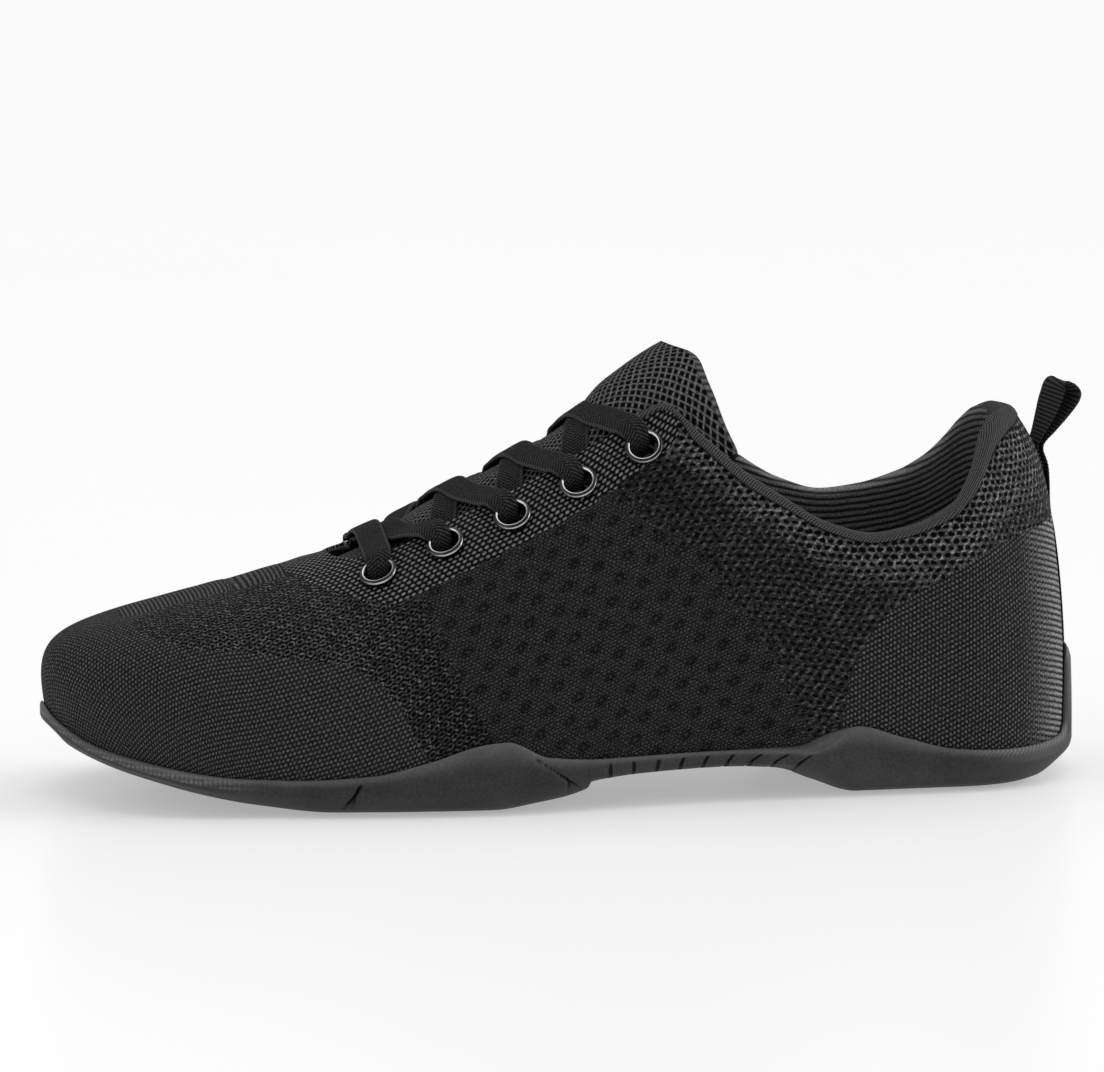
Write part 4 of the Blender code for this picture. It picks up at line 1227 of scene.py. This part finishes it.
def build_laces(cotton):
    xs = [FIRST_EYELET_X + EYELET_PITCH * k for k in range(EYELETS_A_SIDE)]
    parts = []
    for k in range(1, EYELETS_A_SIDE):
        drop = FIRST_DROP if k == 1 else 0.0
        for side, lift in ((OUTER, "over"), (INNER, "under")):
            parts.append(lace_line([(xs[k] - stop["shift"], side * stop["q"],
                                     stop[lift] - drop * (abs(stop["q"]) < 9), stop["width"], stop["thick"])
                                    for stop in STRAND]))
    half = [(xs[0] + BAR_BOW * (1 - (stop["q"] / EYELET_RADIUS_AT) ** 2), OUTER * stop["q"], stop["under"],
             stop["width"], stop["thick"]) for stop in STRAND[:HOLE_STOPS]]
    middle = [(xs[0] + BAR_BOW, y, lift, LACE_BAND, LACE_HIGH) for y, lift in BAR_LIFTS]
    other_half = [(x, -y, *sizes) for x, y, *sizes in reversed(half)]
    parts.append(lace_line(half + middle + other_half))
    points, faces, places = join_parts(parts)
    return make_piece("lace_threaded", points, faces, [cotton], places)


# Pull loop
TAPE_LIFT, TAPE_THICK = 0.32, 0.5


def build_loop(webbing):
    back = Section.at(0.0, OUTER)

    def heel_back(height, offset):
        return back.point(back.t_height(height), offset)

    inner, outer = LOOP_THICK / 2 + GAP, 1.5 * LOOP_THICK + 2 * GAP
    base = heel_back(LOOP_BASE_Z, 0)
    front = [heel_back(LOOP_BASE_Z - 5, inner), heel_back(LOOP_BASE_Z, inner + 0.2)]
    turns = ((2.2, 0, 4.4), (3.9, 0, 8.8), (5.3, 0, 12.8), (6.2, 0, 15.4), (7.5, 0, 16.3),
             (9.4, 0, 15.0), (9.9, 0, 13.0), (7.6, 0, 9.0), (4.8, 0, 4.8))
    loop = [base + np.array(turn) for turn in turns]
    tail = [heel_back(LOOP_BASE_Z, outer + 0.3), heel_back(LOOP_BASE_Z - 5, outer)]
    tape = [heel_back(z, TAPE_LIFT) for z in steps(LOOP_BASE_Z - 14, TAPE_END_Z, 6)]
    path = through(front + loop + tail + tape, 16)
    twist = LOOP_TWIST * smooth(path[:, 2], LOOP_BASE_Z + 1, LOOP_BASE_Z + 13)
    across = np.stack((-np.sin(twist), np.cos(twist), 0.18 * np.sin(twist)), axis=1)
    run = run_along(path)
    even = np.arange(0, run[-1], 0.25)
    path = np.stack([np.interp(even, run, path[:, k]) for k in range(3)], axis=1)
    across = np.stack([np.interp(even, run, across[:, k]) for k in range(3)], axis=1)
    on_tape = fall(path[:, 2], LOOP_BASE_Z - 13, LOOP_BASE_Z - 7)
    thick = LOOP_THICK * (1 - on_tape) + TAPE_THICK * on_tape
    thick = thick * (0.86 + 0.14 * np.cos(2 * math.pi * even))
    points, faces, places = ribbon(path, across, LOOP_WIDTH, thick, corners=26, square=0.34)
    return make_piece("pull_loop_webbing", points, faces, [webbing], places)


# Sole
GROOVE_DEPTH = 1.25
SLIT_TRAVEL, SLIT_LEAN, SLIT_HALF, SLIT_SOFT, SLIT_DEPTH = 203.0, 0.7, 0.38, 0.22, 1.5
SLIT_MIDDLE_Z, SLIT_TOP = 4.5, (7.6, 8.4)
PAD_END_X, PAD_END_Z, PAD_END_LEAN = -1.7, 4.2, 1.45
PAD_SIDE, ARCH_SIDE = 2.5, 1.45
ARCH_ENDS = (-15.0, 3.0)
LINE_DEPTH, EDGE_BULGE = 0.9, 0.5
TAB_SIDE, TOE_ROUNDS = (9.0, 14.0), (236.0, 270.0)
LIP_GROWS, HEEL_RIBS_GROW, HEEL_RIBS_FADE = (222.0, 244.0), (13.0, 17.0), (30.0, 62.0)
SHARP_FROM = math.radians(48)
SLOTS_X = [FIRST_SLOT_X + SLOT_PITCH * k for k in range(SLOT_COUNT)]


def slot_share(x):
    """1 inside a slot of the ribbed arch and 0 outside it, with soft edges."""
    off = min(abs(x - slot_x) for slot_x in SLOTS_X)
    return fall(off, SLOT_WIDTH / 2 - 0.2, SLOT_WIDTH / 2 + 0.1)


def slit_share(travel, height):
    """1 in the middle of the slanted flex slit of the forefoot, 0 outside it."""
    off = abs(travel - SLIT_TRAVEL - SLIT_LEAN * (SLIT_MIDDLE_Z - height))
    return fall(off, SLIT_HALF - SLIT_SOFT, SLIT_HALF + SLIT_SOFT) * fall(height, *SLIT_TOP)


def pad_end(x, height):
    """How far a place on the side is from the slanted end of the forefoot pad, towards the toe."""
    return PAD_END_X - PAD_END_LEAN * (height - PAD_END_Z) - x


def sole_travels():
    near_slot = (-1.9, -0.75, -0.5, -0.25, 0.0, 0.25, 0.5, 0.75, 1.9)
    slots = [travel_at(slot_x) + d for slot_x in SLOTS_X for d in near_slot]
    start, end = travel_at(ARCH_ENDS[1]), travel_at(ARCH_ENDS[0])
    values = spread((0, 8, 1.0), (8, 15, 0.35), (15, HEEL_TRAVEL, 1.3), (HEEL_TRAVEL, min(slots) - 1, 1.2))
    values += slots + spread((start, end, 0.32), (end, 198, 1.2), (198, 210, 0.24), (210, TOE_START, 1.2),
                             (TOE_START, TOE_TIP, 1.1))
    ordered = sorted(set(round(v, 3) for v in values))
    return [v for n, v in enumerate(ordered) if n == 0 or v - ordered[n - 1] > 0.08]


def sole_column(travel, side):
    """Points round a section of the sole, their share of the way up its side, and how much painted shade each
    gets in a slot, the slit or the pad's end line.
    """
    section = Section.at(travel, side)
    across = section.turn == math.pi / 2
    top = section.t_height(RIM.read("height", travel))
    slotted = slot_share(section.x) if across else 0.0
    in_arch = across and ARCH_ENDS[0] < section.x < ARCH_ENDS[1] + 8
    lean_at = 0.0 if in_arch else SOLE.read("lean", section.x)
    tab = TAB_EXTRA * fall(travel, *TAB_SIDE)
    at_toe = smooth(travel, *TOE_ROUNDS)
    points, spots, painted_groove_shades = [], [], []

    def add(point, spot=0.0, painted_groove_shade=0.0):
        points.append(point)
        spots.append(spot)
        painted_groove_shades.append(painted_groove_shade)

    def cut_at(height):
        """How deep the slit and the pad's end line are at a height on this section's side."""
        off = pad_end(section.x, height)
        line = smooth(off, -0.8, -0.2) * fall(off, 0.0, 0.3) if in_arch else 0.0
        return slit_share(travel, height), line

    def on_side(share):
        here = section if lean_at == 0 else Section(travel + lean_at * share * 8.0, side)
        low = here.point(top * share)[2]
        side_thick = SOLE.read("side", here.flat(here.edge)[0])
        if in_arch:
            side_thick = ARCH_SIDE + (PAD_SIDE - ARCH_SIDE) * smooth(pad_end(section.x, low), 0.0, 0.5)
        slit, line = cut_at(low)
        slot = slotted * fall(share, 0.55, 0.75)
        thick = side_thick * (1 - share) + (RIM_THICK + tab) * share
        thick *= 1 - 0.6 * smooth(share, 0.93, 1.0)
        thick += (side_thick * math.sqrt(1 - share ** 2) + 0.05 - thick) * at_toe
        thick -= SLIT_DEPTH * slit * (1 - 0.6 * share)
        thick -= (LINE_DEPTH * line + GROOVE_DEPTH * slot) * (1 - share)
        return here.point(top * share, GAP + max(thick, 0.05)), max(slit, slot, line)

    for share in (0, 0.35, 0.6, 0.74, 0.82, 0.87, 0.91, 0.94, 0.965, 0.985, 1.0):
        point = section.flat(section.edge * share)
        near_edge = max(0.0, 1 - section.edge * (1 - share) / SOLE_FLOOR_EDGE)
        height = SOLE.read("tread", point[0]) + SOLE_EDGE_RISE * near_edge ** 2 + GROOVE_DEPTH * slotted
        point[2] = min(height, SOLE.read("bed", point[0]) - SOLE_LEAST)
        add(point, 0.0, 0.8 * slotted)
    bottom, (first, _) = points[-1], on_side(0.05)
    for share in (0.15, 0.3, 0.45, 0.6, 0.75, 0.9):
        point = bottom * (1 - share) + first * share
        slit, line = cut_at(point[2])
        deep = (SLIT_DEPTH * slit + LINE_DEPTH * line) * share + 0.4 * GROOVE_DEPTH * slotted * (1 - share)
        bulge = EDGE_BULGE * 4 * share * (1 - share)
        add(point + section.axis * (bulge - deep), 0.01, max(slit, line, slotted))
    for share in (0.05, 0.1, 0.16, 0.24, 0.33, 0.43, 0.53, 0.63, 0.73, 0.82, 0.9, 0.96, 1.0):
        point, painted_groove_shade = on_side(share)
        add(point, share, painted_groove_shade)
    for share in (0.985, 0.7, 0.4, 0.0):
        point = section.point(top * share, GAP)
        point[2] -= 1.5 * GAP if share == 0.0 else 0.0
        add(point)
    for share in (0.92, 0.6, 0.0):
        point = section.flat(section.edge * share)
        point[2] = SOLE.read("bed", point[0]) - 1.5 * GAP
        add(point)
    return np.array(points), np.array(spots), np.array(painted_groove_shades)


def build_sole(material):
    order = round_foot(sole_travels())
    made = [sole_column(t, side) for t, side in order]
    # The third of each is the painted shade of the slots, the slit and the pad's end line.
    points, spots, painted_groove_shades = (np.stack([m[k] for m in made]) for k in range(3))
    rows = spots.shape[1]
    travel = np.repeat([t for t, _ in order], rows)
    spot = spots.ravel()
    outside = spot > 0
    lip = smooth(travel, *LIP_GROWS) * outside * smooth(spot, 0.1, 0.3) * fall(spot, 0.9, 1.0)
    heel = fall(travel, *HEEL_RIBS_FADE) * smooth(travel, *HEEL_RIBS_GROW)
    heel = heel * outside * smooth(spot, 0.3, 0.8)
    # The side is made lighter towards its top by a painted highlight.
    places = {"along": travel, "up": points[..., 2].ravel(), "lip": lip, "heel": heel,
              "painted_top_highlight": smooth(spot, 0.5, 1.0), "painted_groove_shade": painted_groove_shades.ravel()}
    flat, faces, places = drop_unused(points.reshape(-1, 3), foot_faces(order, rows), places)
    sole = make_piece("outsole_rubber", flat, faces, [material], places)
    sole.data.set_sharp_from_angle(angle=SHARP_FROM)
    return sole


def build_insole(material):
    """The footbed: a thin pad with a rounded rim."""
    order = round_foot(spread((0, HEEL_TRAVEL, 4), (HEEL_TRAVEL, TOE_START, 4), (TOE_START, TOE_TIP, 4)))
    columns = []
    for travel, side in order:
        section = Section.at(travel, side)
        outline = section.edge - WALL - 2 * GAP
        rim = [(outline - 0.7, 0.0), (outline - 0.2, 0.8), (outline, 1.9), (outline - 0.25, 2.8),
               (outline - 1.0, 3.35), (outline - 2.2, INSOLE_THICK)]
        rows = [(0.0, 0.0), (section.edge * 0.6, 0.0)] + rim
        rows += [(outline * share, INSOLE_THICK) for share in (0.85, 0.65, 0.4, 0.0)]
        column = []
        for radius, up in rows:
            point = section.flat(radius)
            point[2] = SOLE.read("bed", point[0]) + GAP + up
            column.append(point)
        columns.append(column)
    points = np.array(columns)
    faces = foot_faces(order, points.shape[1])
    flat, faces, _ = drop_unused(points.reshape(-1, 3), faces, {})
    insole = make_piece("insole_pad", flat, faces, [material])
    round_off(insole, 1)
    return insole


def face_outwards(piece):
    """Turn a closed piece's faces so that they point out of it."""
    mesh = piece.data
    volume = 0.0
    mesh.calc_loop_triangles()
    for triangle in mesh.loop_triangles:
        a, b, c = (mesh.vertices[v].co for v in triangle.vertices)
        volume += a.dot(b.cross(c))
    if volume < 0:
        mesh.flip_normals()


# Floor, light and camera
FLOOR_GLOW, FLOOR_HALF = 0.36, 30000.0
WORLD_GLOW = 0.45
LAMPS = named_rows("name towards strength angle", [
    ("overhead", (0.10, 0.25, 1.0), 1.0, 70),
    ("toe_side", (-1.0, -0.25, 0.6), 0.5, 50),
    ("heel_side", (1.0, 0.0, 0.45), 1.45, 45),
])
CAMERA_LENS, CAMERA_SHIFT, CAMERA_DISTANCE = 174.65, (-0.0036, 0.0371), 1.3
CAMERA_TARGET = (-0.00245, -0.0017, 0.05)
CAMERA_AZIMUTH, CAMERA_ELEVATION = math.radians(-10), math.radians(8.5)


def build_stage():
    paint = Paint("floor_white", roughness=0.28, specular=0.14)
    mottle = paint.noise(paint.vector(*paint.position()), 0.004)
    paint.colour(mottle, grey(0.65, 1.0), grey(0.665, 1.0))
    paint.shader.inputs["Emission Color"].default_value = (1, 1, 1, 1)
    paint.shader.inputs["Emission Strength"].default_value = FLOOR_GLOW
    corners = [(x * FLOOR_HALF, y * FLOOR_HALF, 0) for x, y in ((-1, -1), (1, -1), (1, 1), (-1, 1))]
    floor = make_piece("floor", corners, [[0, 1, 2, 3]], [paint.material], smooth_shade=False)
    world = bpy.data.worlds.new("studio")
    world.use_nodes = True
    back = world.node_tree.nodes["Background"]
    back.inputs["Color"].default_value = (1.0, 1.0, 1.0, 1)
    back.inputs["Strength"].default_value = WORLD_GLOW
    bpy.context.scene.world = world
    for row in LAMPS:
        lamp = bpy.data.lights.new(row["name"], "SUN")
        lamp.energy = row["strength"]
        lamp.angle = math.radians(row["angle"])
        add_object(row["name"], lamp, Vector(row["towards"]))


def build_camera():
    level = math.cos(CAMERA_ELEVATION)
    back = Vector((math.sin(CAMERA_AZIMUTH) * level, -math.cos(CAMERA_AZIMUTH) * level,
                   math.sin(CAMERA_ELEVATION)))
    data = bpy.data.cameras.new("camera")
    data.sensor_width = 36.0
    data.lens = CAMERA_LENS
    data.shift_x, data.shift_y = CAMERA_SHIFT
    data.clip_end = 100.0
    camera = add_object("camera", data, back)
    camera.location = Vector(CAMERA_TARGET) + back * CAMERA_DISTANCE
    bpy.context.scene.camera = camera


def main():
    bpy.context.scene.view_settings.view_transform = "Standard"
    build_camera()
    build_stage()
    tongue_back = ribbed("tongue_lining", "across", 1.2, tone=0.120)
    pieces = [
        (build_upper(), "knit", ["upper"]),
        (build_tongue(tongue_net(), tongue_back), "tongue_mesh", ["tongue"]),
        (build_laces(lace_weave()), "lace",
         ["lace_bar"] + [f"lace_cross_{k + 1}" for k in range(EYELETS_A_SIDE - 1)]),
        (build_eyelets(eyelet_metal()), "eyelet_metal",
         [f"eyelet_{word}_{k + 1}" for word in ("outer", "inner") for k in range(EYELETS_A_SIDE)]),
        (build_loop(grosgrain()), "webbing", ["pull_loop"]),
        (build_sole(rubber()), "rubber", ["outsole"]),
        (build_insole(insole_cloth()), "insole_cloth", ["insole"]),
    ]
    for piece, slot, nodes in pieces:
        face_outwards(piece)
        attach(piece, "root")
        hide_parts(*nodes)


main()
